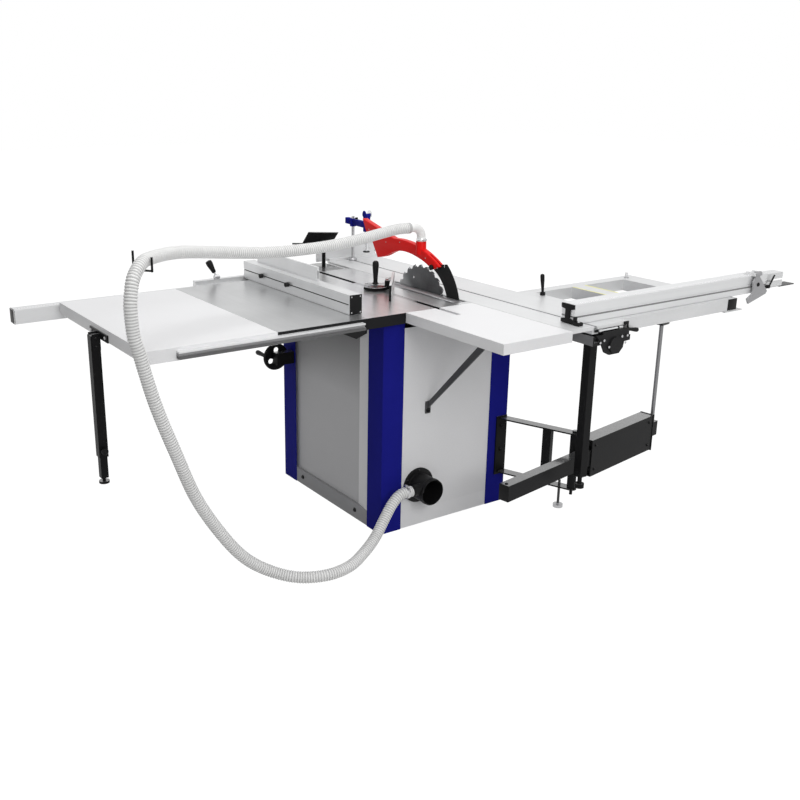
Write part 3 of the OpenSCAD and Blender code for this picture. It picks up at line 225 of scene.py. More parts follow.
def drawn(paint, light, deep, mask, other, metal=0.45, dull=0.36, fine=0.16):
    """Metal drawn along x, in another tone where the mask is 1."""
    marks, bands, blotch = marks_of(paint, 0)
    tone = paint.mix(mask, paint.mix(bands.between(0.3, 0.7) * 0.3, light, deep), other)
    return paint.surface(Base_Color=tone, Metallic=metal, Roughness=dull + fine * marks + 0.06 * blotch,
                         Normal=paint.bump(marks, 0.2, 0.0001, 0.0008))


def half_black(paint, steel, black, mask):
    """Bright steel, painted black where the mask is 1."""
    fine = paint.noise(300.0, 2.0)
    return paint.surface(Base_Color=paint.mix(mask, steel, black), Metallic=0.9 - 0.9 * mask,
                         Roughness=0.34 + 0.1 * fine, Normal=paint.bump(fine, 0.1, 0.0002, 0.0006))


def cast_table(paint, colour):
    """A casting: its top ground bright, all below it painted black."""
    top = paint.along("Z", "Normal").above(0.5) * paint.along("Z").above(TOP_Z)
    marks, bands, blotch = marks_of(paint, 1)
    fleck = paint.noise(160.0, 4.0, (1, 1, 1), 0.8)
    deep = tuple(c * 0.72 for c in colour)
    bare = paint.mix(blotch.between(0.35, 0.65) * 0.35 + bands.between(0.3, 0.7) * 0.2
                     + fleck.between(0.55, 0.75) * 0.35, colour, deep)
    return paint.surface(Base_Color=paint.mix(top, (0.010, 0.010, 0.011), bare), Metallic=0.85 * top,
                         Roughness=0.5 - 0.26 * top + 0.12 * marks, Specular_IOR_Level=0.12,
                         Normal=paint.bump(marks * top + fleck * 0.3, 0.2, 0.0002, 0.0010))


def panel_grey(paint):
    """The side sheet: painted shade of the table above darkens it towards the top, and a painted highlight makes
    its bevelled strip paler.
    """
    strip, high = paint.along("Y").above(STRIP_Y), paint.along("Z").between(*SHADE_Z)
    # high darkens the sheet towards its top as painted shade under the table; strip makes the bevel paler as a
    # painted highlight
    light = paint.mix(strip, paint.mix(high, (0.66, 0.66, 0.67), (0.22, 0.22, 0.225)), (0.93, 0.93, 0.94))
    dark = paint.mix(strip, paint.mix(high, (0.60, 0.60, 0.61), (0.18, 0.18, 0.185)), (0.90, 0.90, 0.91))
    return textured(paint, light, dark, dark)


def base_grey(paint):
    """The base: dull grey, but painted pale on the faces that look towards +y, as painted light from the rear."""
    fine = paint.noise(420.0, 2.0)
    dull = paint.cloudy((0.33, 0.33, 0.34), (0.37, 0.37, 0.38))
    # faces looking towards +y take the pale colour as painted light
    return paint.surface(Base_Color=paint.mix(paint.along("Y", "Normal").above(0.5), dull, (0.84, 0.84, 0.85)),
                         Roughness=0.42 + 0.1 * fine, Specular_IOR_Level=0.15,
                         Normal=paint.bump(fine, 0.25, 0.0004, 0.0015))


def black_paint(paint):
    """Glossy black powder coat; on the faces that lie flat a painted sheen lightens its colour, and a clear coat
    lies on them.
    """
    up, fine = paint.along("Z", "Normal").between(0.5, 0.9), paint.noise(380.0, 2.0)
    tone = paint.cloudy((0.006, 0.006, 0.0065), (0.009, 0.009, 0.0095))
    # up marks the faces that lie flat; their lighter colour is a painted sheen, standing for the light they reflect
    return paint.surface(Base_Color=paint.mix(up, tone, (0.075, 0.075, 0.076)), Roughness=0.36 + 0.12 * fine,
                         Specular_IOR_Level=0.08, Coat_Weight=up * 1.0, Coat_IOR=2.2, Coat_Roughness=0.12,
                         Normal=paint.bump(fine, 0.25, 0.0004, 0.0012))


def hose_white(paint):
    """Ribbed plastic, with painted shade making it greyer down between its ribs."""
    rib = paint.node("Attribute", {"attribute_name": "rib"}, {}, "Fac")
    fine = paint.noise(900.0, 2.0)
    tone = paint.cloudy((0.82, 0.82, 0.81), (0.90, 0.90, 0.89), 6.0, 3.0)
    # the grey between the ribs is painted shade
    return paint.surface(Base_Color=paint.mix(rib, (0.50, 0.50, 0.50), tone), Roughness=0.42 + 0.1 * fine,
                         Specular_IOR_Level=0.35, Normal=paint.bump(fine, 0.15, 0.0002))


def rail_metal(paint):
    """The rails: the rear one bright on its top lip, with painted shade making it grey in its groove and dark along
    its foot, as light falls on its rounded profile.
    """
    height = paint.along("Z")
    # dull is painted shade on the rear rail: dark along its foot, grey up to its lip
    dull = paint.mix(height.above(RAIL_FOOT_Z), (0.11, 0.11, 0.112), (0.30, 0.30, 0.305))
    mask = paint.along("Y").above(REAR_Y) * (1 - height.above(RAIL_LIP_Z))
    return drawn(paint, (0.74, 0.745, 0.75), (0.64, 0.645, 0.65), mask, dull, dull=0.38, fine=0.14)


def rip_metal(paint):
    """The rip fence: its side groove and the two small knobs on it black."""
    out = paint.along("X")
    black = out.within(*RIP_GROOVE_X) * paint.along("Z").within(*RIP_GROOVE_Z) + out.above(RIP_KNOB_X)
    marks, bands, blotch = marks_of(paint, 1)
    bare = paint.worn(bands, blotch, (0.76, 0.765, 0.77), (0.62, 0.625, 0.63))
    return paint.surface(Base_Color=paint.mix(black, bare, (0.010, 0.010, 0.0105)), Metallic=0.6 - 0.6 * black,
                         Roughness=0.26 + 0.16 * marks + 0.08 * blotch, Specular_IOR_Level=0.2,
                         Normal=paint.bump(marks, 0.2, 0.0001, 0.0008))


def extension_metal(paint):
    """The crosscut fence's extension, the plate under its far end painted black as painted shade under the profile.
    """
    # low marks the plate under the profile, painted black as painted shade
    low = 1 - paint.along("Z").above(STOP_PLATE_Z)
    return drawn(paint, (0.72, 0.725, 0.73), (0.64, 0.645, 0.65), low, (0.05, 0.05, 0.051), 0.45 - 0.45 * low)


def fence_extrusion(paint):
    """The crosscut fence, with a painted shadow line along the floor of its side grooves, under their upper lips.
    """
    # the grey band in the grooves is painted shadow
    return drawn(paint, (0.76, 0.765, 0.77), (0.66, 0.665, 0.67), paint.along("Z").within(*FENCE_GROOVE_Z),
                 (0.22, 0.22, 0.222))


def foot_steel(paint):
    """The adjusting foot: a black screw on a bright disc."""
    return half_black(paint, (0.45, 0.45, 0.46), (0.012, 0.012, 0.012), paint.along("Z").above(FOOT_TOP))


def support_steel(paint):
    """The support rod: bright, but its clamp and lever near the top black."""
    return half_black(paint, (0.22, 0.22, 0.225), (0.01, 0.01, 0.01), paint.along("Z").within(*ROD_CLAMP_Z))


def chrome(paint):
    slow = paint.noise(30.0, 2.0)
    return paint.surface(Base_Color=(0.70, 0.71, 0.72), Metallic=1.0, Roughness=0.08 + 0.08 * slow,
                         Normal=paint.bump(slow, 0.05, 0.0002, 0.0006))


def beam_grey(paint):
    """The fixed beam: dull grey metal, the plate across its rear end black."""
    marks, _, blotch = marks_of(paint, 1)
    tone = paint.mix(blotch.between(0.3, 0.7), (0.15, 0.15, 0.155), (0.20, 0.20, 0.205))
    return paint.surface(Base_Color=paint.mix(paint.along("Y").above(END_PLATE_Y), tone, (0.010, 0.010, 0.0105)),
                         Roughness=0.45 + 0.1 * marks, Specular_IOR_Level=0.15,
                         Normal=paint.bump(marks, 0.2, 0.0002, 0.0008))


def blade_steel(paint):
    """Ground in rings, with two pale cones painted into its colour as a painted reflection of a light."""
    spot = paint.place(move=(0.0, -BLADE_Y * MM, -BLADE_Z * MM))
    reach = paint.node("VectorMath", {"operation": "LENGTH"}, {0: spot}, "Value")
    rings = paint.node("TexNoise", {"noise_dimensions": "1D"}, {"W": reach, "Scale": 2600.0, "Detail": 2.0}, "Fac")
    y, z = (paint.node("SeparateXYZ", {}, {0: spot}, word) for word in "YZ")
    angle = paint.node("Math", {"operation": "ARCTAN2"}, {0: z, 1: y})
    # two opposite pale cones painted into the colour, as a painted reflection fixed to the blade
    painted_glint = paint.node("Math", {"operation": "SINE"}, {0: 2 * angle + 2.35}).between(0.45, 1.0) ** 2.0
    stain = paint.noise(22.0, 4.0)
    tone = paint.mix(stain.between(0.3, 0.7) * 0.5 + rings * 0.5, (0.16, 0.163, 0.168), (0.09, 0.092, 0.096))
    return paint.surface(Base_Color=paint.mix(painted_glint * 0.8, tone, (0.55, 0.555, 0.56)), Metallic=0.9,
                         Roughness=0.30 + 0.2 * rings, Normal=paint.bump(rings, 0.5, 0.00008))


# Each finish: the function that makes it, and what follows the material in that function's call.
# painted takes colour, dullness, grain, depth, wear, edge, shine, metal; ground takes colour, axis of the
# marks, dullness, metal, depth, deepening.
FINISHES = {
    "machine_blue": (painted, "blue", 0.50, 420.0, 0.0004, 0.18, 0.0015, 0.02),
    "white_coat": (painted, "white", 0.42, 520.0, 0.0002, 0.03, 0.0015, 0.3),
    "red_plastic": (painted, "red", 0.34, 700.0, 0.0002, 0.10, 0.0, 0.10),
    "black_plastic": (painted, (0.010, 0.010, 0.0105), 0.44, 900.0, 0.0003, 0.2, 0.0008, 0.12),
    "yellow_tape": (painted, (0.88, 0.86, 0.34), 0.4, 600.0, 0.0001, 0.05, 0.0),
    "brace_grey": (painted, (0.085, 0.085, 0.087), 0.42, 300.0, 0.0003, 0.25, 0.0010, 0.2),
    "knife_grey": (painted, (0.017, 0.017, 0.0175), 0.42, 300.0, 0.0002, 0.2, 0.0, 0.1),
    "stop_grey": (painted, (0.40, 0.40, 0.41), 0.42, 420.0, 0.0003, 0.1, 0.001, 0.3, 0.3),
    "raw_iron": (painted, (0.16, 0.165, 0.175), 0.6, 300.0, 0.0012, 0.2, 0.002, 0.4, 0.4),
    "belt_rubber": (painted, (0.02, 0.02, 0.02), 0.7, 800.0, 0.0003, 0.2, 0.0005),
    # the cabinet's sheets are painted paler than the side sheet, as painted light on the sheets that face the rear
    "panel_pale": (textured, (0.88, 0.88, 0.89), (0.82, 0.82, 0.83), (0.74, 0.74, 0.75)),
    "ground_iron": (cast_table, (0.70, 0.705, 0.71)),
    "wing_iron": (cast_table, (0.54, 0.545, 0.55)),
    "extrusion_y": (ground, (0.74, 0.745, 0.75), 1, 0.42, 0.45, 0.0001, 0.9),
    "extrusion_x": (ground, (0.72, 0.725, 0.73), 0, 0.42, 0.45, 0.0001, 0.9),
    "fence_metal": (ground, (0.76, 0.765, 0.77), 1, 0.36, 0.6, 0.0001, 0.85),
    "insert_steel": (ground, (0.30, 0.30, 0.31), 1, 0.36, 0.8),
    "bright_steel": (ground, (0.50, 0.50, 0.51), 2, 0.30, 0.95),
    **{made.__name__: (made,) for made in (panel_grey, base_grey, black_paint, hose_white, rail_metal, rip_metal,
                                           extension_metal, fence_extrusion, foot_steel, support_steel, chrome,
                                           beam_grey, blade_steel)},
}
MADE = {}


def material(name):
    """The finish of that name, made when it is first asked for."""
    if name not in MADE:
        make, *values = FINISHES[name]
        values = [tuple(getattr(looks(), v)) if isinstance(v, str) else v for v in values]
        MADE[name] = make(Paint(bpy.data.materials.new(name)), *values)
    return MADE[name]


# ---------------------------------------------------------------- modelling (all sizes in millimetres)
# The finishes that the new pieces take most
PLASTIC, STEEL, COAT, CHROME = "black_plastic", "bright_steel", "black_paint", "chrome"
BLUE, RED, WHITE, BLADE, INSERT = "machine_blue", "red_plastic", "hose_white", "blade_steel", "insert_steel"


def only(piece=None):
    """Leaves edit mode, and selects that piece alone."""
    if bpy.context.object and bpy.context.object.mode != "OBJECT":
        bpy.ops.object.mode_set(mode="OBJECT")
    bpy.ops.object.select_all(action="DESELECT")
    if piece:
        piece.select_set(True)
        bpy.context.view_layer.objects.active = piece
    return piece


def begun(name, look):
    """The primitive just added, its size settled, in its finish."""
    piece = bpy.context.object
    piece.name = piece.data.name = name
    only(piece)
    bpy.ops.object.transform_apply(location=True, rotation=True, scale=True)
    piece.data.materials.clear()
    piece.data.materials.append(material(look))
    return piece


def soften(piece, width, steps=2, angle=35):
    """Rounds the sharp edges, and shades the rest smooth."""
    only(piece)
    if width:
        round_off = piece.modifiers.new("round_off", "BEVEL")
        round_off.width, round_off.segments = width * MM, steps
        round_off.limit_method, round_off.angle_limit = "ANGLE", math.radians(angle)
        round_off.use_clamp_overlap = True
        bpy.ops.object.modifier_apply(modifier="round_off")
    bpy.ops.object.shade_smooth_by_angle(angle=math.radians(angle))
    return piece


def block(name, look, low, high, width=1.0, steps=2):
    """A rounded block between two corners."""
    only()
    low, high = Vector(low) * MM, Vector(high) * MM
    bpy.ops.mesh.primitive_cube_add(size=1, location=(low + high) / 2)
    bpy.context.object.scale = high - low
    return soften(begun(name, look), width, steps)


def towards(axis):
    """The turn that takes +Z to this axis."""
    return Vector((0, 0, 1)).rotation_difference(Vector(axis)).to_matrix().to_4x4()


def at(x=0, y=0, z=0, turn=0, axis="Z"):
    """The place at a point, turned by degrees."""
    return Matrix.Translation(Vector((x, y, z)) * MM) @ Matrix.Rotation(math.radians(turn), 4, axis)


def turned(name, look, profile, place=(0, 0, 0), axis=(0, 0, 1), sides=40):
    """A lathe shape: radius and height pairs, from the first flat end to the last."""
    only()
    radius, height = profile[0]
    bpy.ops.mesh.primitive_circle_add(vertices=sides, radius=radius * MM, fill_type="NGON",
                                      location=(0, 0, height * MM))
    piece = begun(name, look)
    bpy.ops.object.mode_set(mode="EDIT")
    bpy.ops.mesh.select_all(action="SELECT")
    for next_radius, next_height in profile[1:]:
        bpy.ops.mesh.extrude_region_move(TRANSFORM_OT_translate={"value": (0, 0, (next_height - height) * MM)})
        share = next_radius / radius
        bpy.ops.transform.resize(value=(share, share, 1), center_override=(0, 0, next_height * MM))
        radius, height = next_radius, next_height
    bpy.ops.mesh.select_all(action="SELECT")
    bpy.ops.mesh.remove_doubles(threshold=0.000001)
    bpy.ops.mesh.normals_make_consistent(inside=False)
    only(piece)
    piece.data.transform(Matrix.Translation(Vector(place) * MM) @ towards(axis))
    return soften(piece, 0, angle=30)


def pin(name, look, start, end, radius, edge=0.6, sides=32):
    """A round bar between two points, its ends chamfered."""
    run = Vector(end) - Vector(start)
    profile = ((radius - edge, 0), (radius, edge), (radius, run.length - edge), (radius - edge, run.length))
    return turned(name, look, profile, start, run, sides)


def bolt(name, look, place, axis, radius=5.0, height=3.5):
    """A bolt's six-sided head and its washer."""
    washer = turned(name + "_washer", look, ((radius * 1.35, 0), (radius * 1.35, 1.2)), place, axis, 24)
    head = turned(name, look, ((radius, 1.0), (radius, height - 0.6), (radius * 0.88, height)), place, axis, 6)
    return joined(name, head, washer)


def plate(name, look, outline, depth, stand=Matrix(), width=1.0, steps=2, angle=35):
    """A flat shape of points in x and y, drawn out by depth along z, then stood by a matrix."""
    only()
    bpy.ops.mesh.primitive_circle_add(vertices=len(outline), radius=1, fill_type="NGON")
    piece = begun(name, look)
    for corner, (x, y) in zip(piece.data.vertices, outline):
        corner.co = (x * MM, y * MM, 0)
    bpy.ops.object.mode_set(mode="EDIT")
    bpy.ops.mesh.select_all(action="SELECT")
    bpy.ops.mesh.extrude_region_move(TRANSFORM_OT_translate={"value": (0, 0, depth * MM)})
    bpy.ops.mesh.select_all(action="SELECT")
    bpy.ops.mesh.normals_make_consistent(inside=False)
    only(piece)
    piece.data.transform(stand)
    return soften(piece, width, steps, angle)


# Stands a shape drawn in (y, z) across x, or one drawn in (x, z) across y
ACROSS_X = Matrix(((0, 0, 1, 0), (1, 0, 0, 0), (0, 1, 0, 0), (0, 0, 0, 1)))
ACROSS_Y = Matrix(((1, 0, 0, 0), (0, 0, -1, 0), (0, 1, 0, 0), (0, 0, 0, 1)))


def cut(piece, *tools):
    """Takes the tools' shapes out of the piece, and removes them."""
    for tool in tools:
        only(piece)
        bite = piece.modifiers.new("bite", "BOOLEAN")
        bite.object, bite.operation, bite.solver = tool, "DIFFERENCE", "EXACT"
        bpy.ops.object.modifier_apply(modifier="bite")
        bpy.data.objects.remove(tool)
    return piece


def joined(name, *pieces):
    """One piece from several, each face keeping its finish."""
    only(pieces[0])
    for piece in pieces:
        piece.select_set(True)
    bpy.ops.object.join()
    piece = bpy.context.object
    piece.name = piece.data.name = name
    return piece


def moved(piece, matrix):
    piece.data.transform(matrix)
    if matrix.determinant() < 0:
        piece.data.flip_normals()
    return piece


def copied(piece, matrix):
    """A copy with its own mesh, moved by a matrix."""
    twin = piece.copy()
    twin.data = piece.data.copy()
    bpy.context.scene.collection.objects.link(twin)
    return moved(twin, matrix)


def copies(pattern, matrices):
    """A copy of the pattern for each matrix; the pattern itself is removed."""
    made = [copied(pattern, matrix) for matrix in matrices]
    bpy.data.objects.remove(pattern)
    return made


def arc(radius, start, end, steps, middle=(0, 0)):
    """Points on an arc, in degrees."""
    turns = (math.radians(start + (end - start) * i / steps) for i in range(steps + 1))
    return [(middle[0] + radius * math.cos(a), middle[1] + radius * math.sin(a)) for a in turns]


def spline(a, b, c, d, t):
    """A point on the smooth curve from b to c, on its way from a to d."""
    return 0.5 * (2 * b + (c - a) * t + (2 * a - 5 * b + 4 * c - d) * t * t + (3 * b - 3 * c + d - a) * t * t * t)


def placed(piece, body, *nodes, slot):
    """Sets the body that the finished piece rides on, and hides the nodes that it stands for; slot is not used."""
    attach(piece, body)
    if nodes:
        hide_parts(*nodes)


def finished(name, parts, body, *nodes, slot, stand=Matrix()):
    """Joins the parts into one piece, stands it by a matrix, and places it."""
    placed(moved(joined(name, *parts), stand), body, *nodes, slot=slot)


def spin(degrees, axis="Z"):
    return Matrix.Rotation(math.radians(degrees), 4, axis)


# ---------------------------------------------------------------- settings
class TableSawLooks(bpy.types.PropertyGroup):
    """Colours and sizes that a user would change."""

    blue: bpy.props.FloatVectorProperty(name="Blue", description="Paint of the corner posts and the clamp",
                                        default=(0.013, 0.015, 0.25), subtype="COLOR", min=0, max=1)
    red: bpy.props.FloatVectorProperty(name="Red", description="Plastic of the blade guard",
                                       default=(0.80, 0.010, 0.009), subtype="COLOR", min=0, max=1)
    white: bpy.props.FloatVectorProperty(name="White", description="Coat of the extension tables",
                                         default=(0.84, 0.84, 0.85), subtype="COLOR", min=0, max=1)
    rib_pitch: bpy.props.FloatProperty(name="Rib Pitch", description="Distance between the hose's ribs",
                                       default=0.0088, unit="LENGTH", min=0.004, max=0.02)
    teeth: bpy.props.IntProperty(name="Teeth", description="Number of teeth on the blade",
                                 default=24, min=8, max=96)
    rib_depth: bpy.props.FloatProperty(name="Rib Depth", description="Height of the hose's ribs",
                                       default=0.0027, unit="LENGTH", min=0.0005, max=0.004)


# ---------------------------------------------------------------- stage
# The camera that was fitted to the photograph's edges: its lens, its place in metres, and its directions
LENS, SENSOR, SHIFT = 44.24, 36.0, (0.0610, -0.0179)
CAMERA_PLACE = (2.29927, 3.07832, 1.63367)
CAMERA_RIGHT = (-0.83308604, 0.55311502, 0.00560616)
CAMERA_DOWN = (0.16138694, 0.25274554, -0.95397796)
CAMERA_AHEAD = (-0.52907647, -0.79384095, -0.29982432)

# Each lamp's place, aim, width and power
LAMPS = {"top_lamp": ((0.2, 0.6, 4.6), (0.1, 0.1, 0.85), 3.0, 92),
         "back_lamp": ((-3.0, -4.4, 2.5), (0.0, 0.0, 0.85), 4.0, 70),
         "rear_lamp": ((1.2, 5.0, 2.8), (0, 0.3, 0.6), 2.4, 96)}
SKY = 0.33                          # strength of the sky's light
FLOOR_GREY, FLOOR_GLOW, FLOOR_SEEN = 0.62, 1.15, 0.88


class TABLESAW_OT_stage(bpy.types.Operator):
    """Sets the floor, the lamps, the sky and the camera"""

    bl_idname = "tablesaw.stage"
    bl_label = "Studio"

    def execute(self, context):
        scene = context.scene
        scene.view_settings.view_transform = "Standard"
        lens = bpy.data.cameras.new("photo_camera")
        lens.lens, lens.sensor_width, lens.clip_end = LENS, SENSOR, 60.0
        lens.shift_x, lens.shift_y = SHIFT
        camera = bpy.data.objects.new("photo_camera", lens)
        turn = Matrix((Vector(CAMERA_RIGHT), -Vector(CAMERA_DOWN), -Vector(CAMERA_AHEAD))).transposed().to_4x4()
        camera.matrix_world = Matrix.Translation(CAMERA_PLACE) @ turn
        scene.collection.objects.link(camera)
        scene.camera = camera

        only()
        bpy.ops.mesh.primitive_plane_add(size=40.0)
        floor = bpy.context.object
        floor.name = "studio_floor"
        paint = Paint(bpy.data.materials.new("studio_floor"))
        ray = paint.node("LightPath", {}, {}, "Is Camera Ray") + paint.node("LightPath", {}, {}, "Is Glossy Ray")
        lit = paint.node("BsdfDiffuse", {}, {"Color": (FLOOR_GREY, FLOOR_GREY, FLOOR_GREY, 1)})
        glow = paint.node("Emission", {}, {"Color": (1, 1, 1, 1), "Strength": FLOOR_GLOW})
        seen = paint.node("MixShader", {}, {0: ray * FLOOR_SEEN, 1: lit, 2: glow})
        paint.node("OutputMaterial", {}, {"Surface": seen})
        floor.data.materials.append(paint.owner)

        scene.world = bpy.data.worlds.new("studio_sky")
        sky = Paint(scene.world)
        rays = {i: sky.node("LightPath", {}, {}, word) for i, word in enumerate(("Is Camera Ray", "Is Glossy Ray"))}
        soft, white = (sky.node("Background", {}, {"Color": (1, 1, 1, 1), "Strength": light})
                       for light in (SKY, 1.0))
        blend = sky.node("MixShader", {}, {0: sky.node("Math", {"operation": "MAXIMUM"}, rays), 1: soft, 2: white})
        sky.node("OutputWorld", {}, {"Surface": blend})

        for name, (spot, aim, width, power) in LAMPS.items():
            lamp = bpy.data.lights.new(name, "AREA")
            lamp.size, lamp.energy = width, power
            post = bpy.data.objects.new(name, lamp)
            post.visible_camera, post.visible_glossy = False, name != "back_lamp"
            post.location = spot
            post.rotation_euler = (Vector(aim) - Vector(spot)).to_track_quat("-Z", "Y").to_euler()
            scene.collection.objects.link(post)
        return {"FINISHED"}


# ---------------------------------------------------------------- hose
# Points on the hose's middle line, from the guard's elbow over the hook to the dust port
ROUTE = [(70, 105, 1090), (112, 105, 1090), (170, 112, 1085), (260, 124, 1075), (350, 137, 1067), (450, 150, 1062),
         (580, 168, 1062), (720, 190, 1069), (890, 225, 1090), (1010, 262, 1108), (1090, 295, 1118),
         (1160, 335, 1122), (1217, 375, 1121), (1238, 393, 1118), (1264, 417, 1105), (1290, 441, 1078),
         (1304, 455, 1037), (1310, 462, 995), (1307, 466, 924), (1295, 468, 871), (1255, 470, 708),
         (1196, 466, 537), (1131, 457, 369), (1043, 450, 217), (965, 452, 115), (880, 467, 50), (800, 515, 25),
         (709, 552, 23), (613, 542, 23), (530, 505, 33), (455, 470, 60), (400, 446, 105), (352, 430, 150),
         (310, 424, 176), (262, 424, 178)]
HOSE_RADIUS = 0.0205                # over its ribs, in metres


def smooth_line(points, step):
    """Points a short step apart on the smooth curve through the route."""
    route = [Vector(p) / 1000 for p in points]
    last = len(route) - 1
    line = []
    for i in range(last):
        a, b, c, d = (route[max(0, min(last, i + k))] for k in (-1, 0, 1, 2))
        count = max(2, round((c - b).length / step))
        for k in range(count):
            line.append(spline(a, b, c, d, k / count))
    line.append(route[-1])
    return line


def frames_along(line):
    """A steady crosswise pair of axes at each point of the line."""
    side = Vector((0, 1, 0))
    out = []
    for i, spot in enumerate(line):
        ahead = (line[min(i + 1, len(line) - 1)] - line[max(i - 1, 0)]).normalized()
        side = (side - ahead * side.dot(ahead)).normalized()
        out.append((spot, side, ahead.cross(side)))
    return out


def skin(name, look, line, radii, sides, ribbed=False):
    """A round skin along the line, with a radius for each point; ribs are marked in an attribute, which the hose's
    finish reads for painted shade between them.
    """
    verts, faces = [], []
    for (spot, u, v), radius in zip(frames_along(line), radii):
        for k in range(sides):
            a = 2 * math.pi * k / sides
            verts.append(spot + radius * (math.cos(a) * u + math.sin(a) * v))
    for i in range(len(line) - 1):
        for k in range(sides):
            n = (k + 1) % sides
            faces.append((i * sides + k, i * sides + n, (i + 1) * sides + n, (i + 1) * sides + k))
    faces.append(tuple(range(sides))[::-1])
    faces.append(tuple(range((len(line) - 1) * sides, len(line) * sides)))
    mesh = bpy.data.meshes.new(name)
    mesh.from_pydata([tuple(v) for v in verts], [], faces)
    mesh.materials.append(material(look))
    low, high = min(radii), max(radii)
    rib = mesh.attributes.new("rib", "FLOAT", "POINT")
    for i, radius in enumerate(radii):
        for k in range(sides):
            rib.data[i * sides + k].value = (radius - low) / (high - low) if ribbed else 1.0
    piece = bpy.data.objects.new(name, mesh)
    bpy.context.scene.collection.objects.link(piece)
    only(piece)
    bpy.ops.object.shade_smooth_by_angle(angle=math.radians(60))
    return piece


class TABLESAW_OT_hose(bpy.types.Operator):
    """Runs the ribbed dust hose from the guard's elbow over the hook to the dust port"""

    bl_idname = "tablesaw.hose"
    bl_label = "Dust Hose"

    def execute(self, context):
        pitch, depth = looks().rib_pitch, looks().rib_depth
        line = smooth_line(ROUTE, pitch / 5)
        radii, run = [], 0.0
        for i, spot in enumerate(line):
            run += (spot - line[i - 1]).length if i else 0.0
            wave = 0.5 + 0.5 * math.cos(2 * math.pi * run / pitch)
            radii.append(HOSE_RADIUS - depth * (1 - wave) ** 1.6)
        hose = skin("dust_hose_ribbed", WHITE, line, radii, 18, True)
        placed(hose, "base", "dust_hose", slot="white_plastic")
        length = sum((b - a).length for a, b in zip(line, line[1:]))
        [tuple(p) for p in line[::5]] + [tuple(line[-1])]
        return {"FINISHED"}


# ---------------------------------------------------------------- detailed pieces
# The guard seen from its side, as y and as z over the table; the corners listed as sharp aren't rounded
GUARD_OUTLINE = ((-277, 229), (-60, 176), (-10, 178), (50, 174), (110, 162), (160, 146), (205, 126), (236, 108),
                 (196, 92), (172, 100), (140, 113), (106, 122), (60, 131), (5, 134), (-50, 125), (-114, 97),
                 (-166, 84), (-202, 140), (-246, 171))
GUARD_SHARP = {0, 1, 7, 8, 16, 17, 18}
GUARD_PIN = (0, 192.6, 949.6)
TABLE_Z = 850
CUFF = (0, 105, 1036)               # where the elbow leaves the guard


def eased(points, sharp, steps=4):
    """A closed outline drawn smooth through its points, but straight into the sharp ones."""
    out = []
    count = len(points)
    for i, (x, y) in enumerate(points):
        out.append((x, y))
        nxt, after, before = points[(i + 1) % count], points[(i + 2) % count], points[i - 1]
        if i in sharp and (i + 1) % count in sharp:
            continue
        a = before if i not in sharp else (x, y)
        d = after if (i + 1) % count not in sharp else nxt
        for k in range(1, steps):
            out.append(tuple(spline(*four, k / steps) for four in zip(a, (x, y), nxt, d)))
    return out


class TABLESAW_OT_guard(bpy.types.Operator):
    """Makes the red blade guard with its two half shells, screws, cuff and pivot knob"""

    bl_idname = "tablesaw.guard"
    bl_label = "Blade Guard"

    def execute(self, context):
        half = [(y, z + TABLE_Z) for y, z in eased(GUARD_OUTLINE, GUARD_SHARP)]
        shell = plate("guard_shell", RED, half, 26, at(x=-13) @ ACROSS_X, 2.5, 3, 28)
        cut(shell, block("room", RED, (-4, -120, 910), (4, 181, 962), 0),
            block("slot", RED, (-2.6, 162, 905), (2.6, 262, 1029), 0))
        soften(shell, 0, angle=28)
        parts = [shell, turned("guard_cuff", RED, ((16.8, -50), (20, -50), (20, -2), (19, 0), (16.8, 0),
                                                   (16.8, -50)), CUFF, sides=36)]
        spots = ((-228, 1040), (-186, 960), (-108, 1004), (-16, 1016), (92, 996), (150, 978), (224, 952))
        for side in (1, -1):
            screw = turned("screw", "stop_grey", ((2.4, 0), (2.4, 0.9), (1.6, 1.4), (0.8, 1.4)),
                           (side * 12.6, 0, 0), (side, 0, 0), 14)
            parts += copies(screw, [at(0, y, z) for y, z in spots])
        left, knob, nut, right = ((x, *GUARD_PIN[1:]) for x in (-19, 13, -13, 19))
        parts += [pin("pivot", STEEL, left, right, 4),
                  turned("pivot_knob", PLASTIC, ((8, 0), (10, 1), (10, 8), (9, 9)), knob, (1, 0, 0), 18),
                  turned("pivot_nut", STEEL, ((6, 0), (6, 4), (5, 5)), nut, (-1, 0, 0), 6)]
        finished("blade_guard_shell", parts, "guard", "blade_guard", slot="red_plastic")
        return {"FINISHED"}


class TABLESAW_OT_knife(bpy.types.Operator):
    """Makes the riving knife behind the blade, with the two notches in its top"""

    bl_idname = "tablesaw.knife"
    bl_label = "Riving Knife"

    def execute(self, context):
        top = ((150.5, 180.4), (137, 178.2), (137, 165.8), (133, 165.8), (133, 177.5), (120, 175.3), (120, 166.6),
               (116, 166.6), (116, 174.7), (112, 174), (80, 172))
        outline = arc(235, -10, 50, 30, (BLADE_Y, BLADE_Z)) + [(BLADE_Y + y, BLADE_Z + z) for y, z in top]
        outline += arc(166, 66.5, -10, 36, (BLADE_Y, BLADE_Z))
        sheet = plate("riving_knife_plate", "knife_grey", outline, 2.8, at(x=-1.4) @ ACROSS_X, 0)
        cut(sheet, turned("hole", "knife_grey", ((4.2, -5), (4.2, 5)), GUARD_PIN, (1, 0, 0), 24))
        placed(soften(sheet, 0.3, 1), "saw_unit", "riving_knife", slot="black_steel")
        return {"FINISHED"}


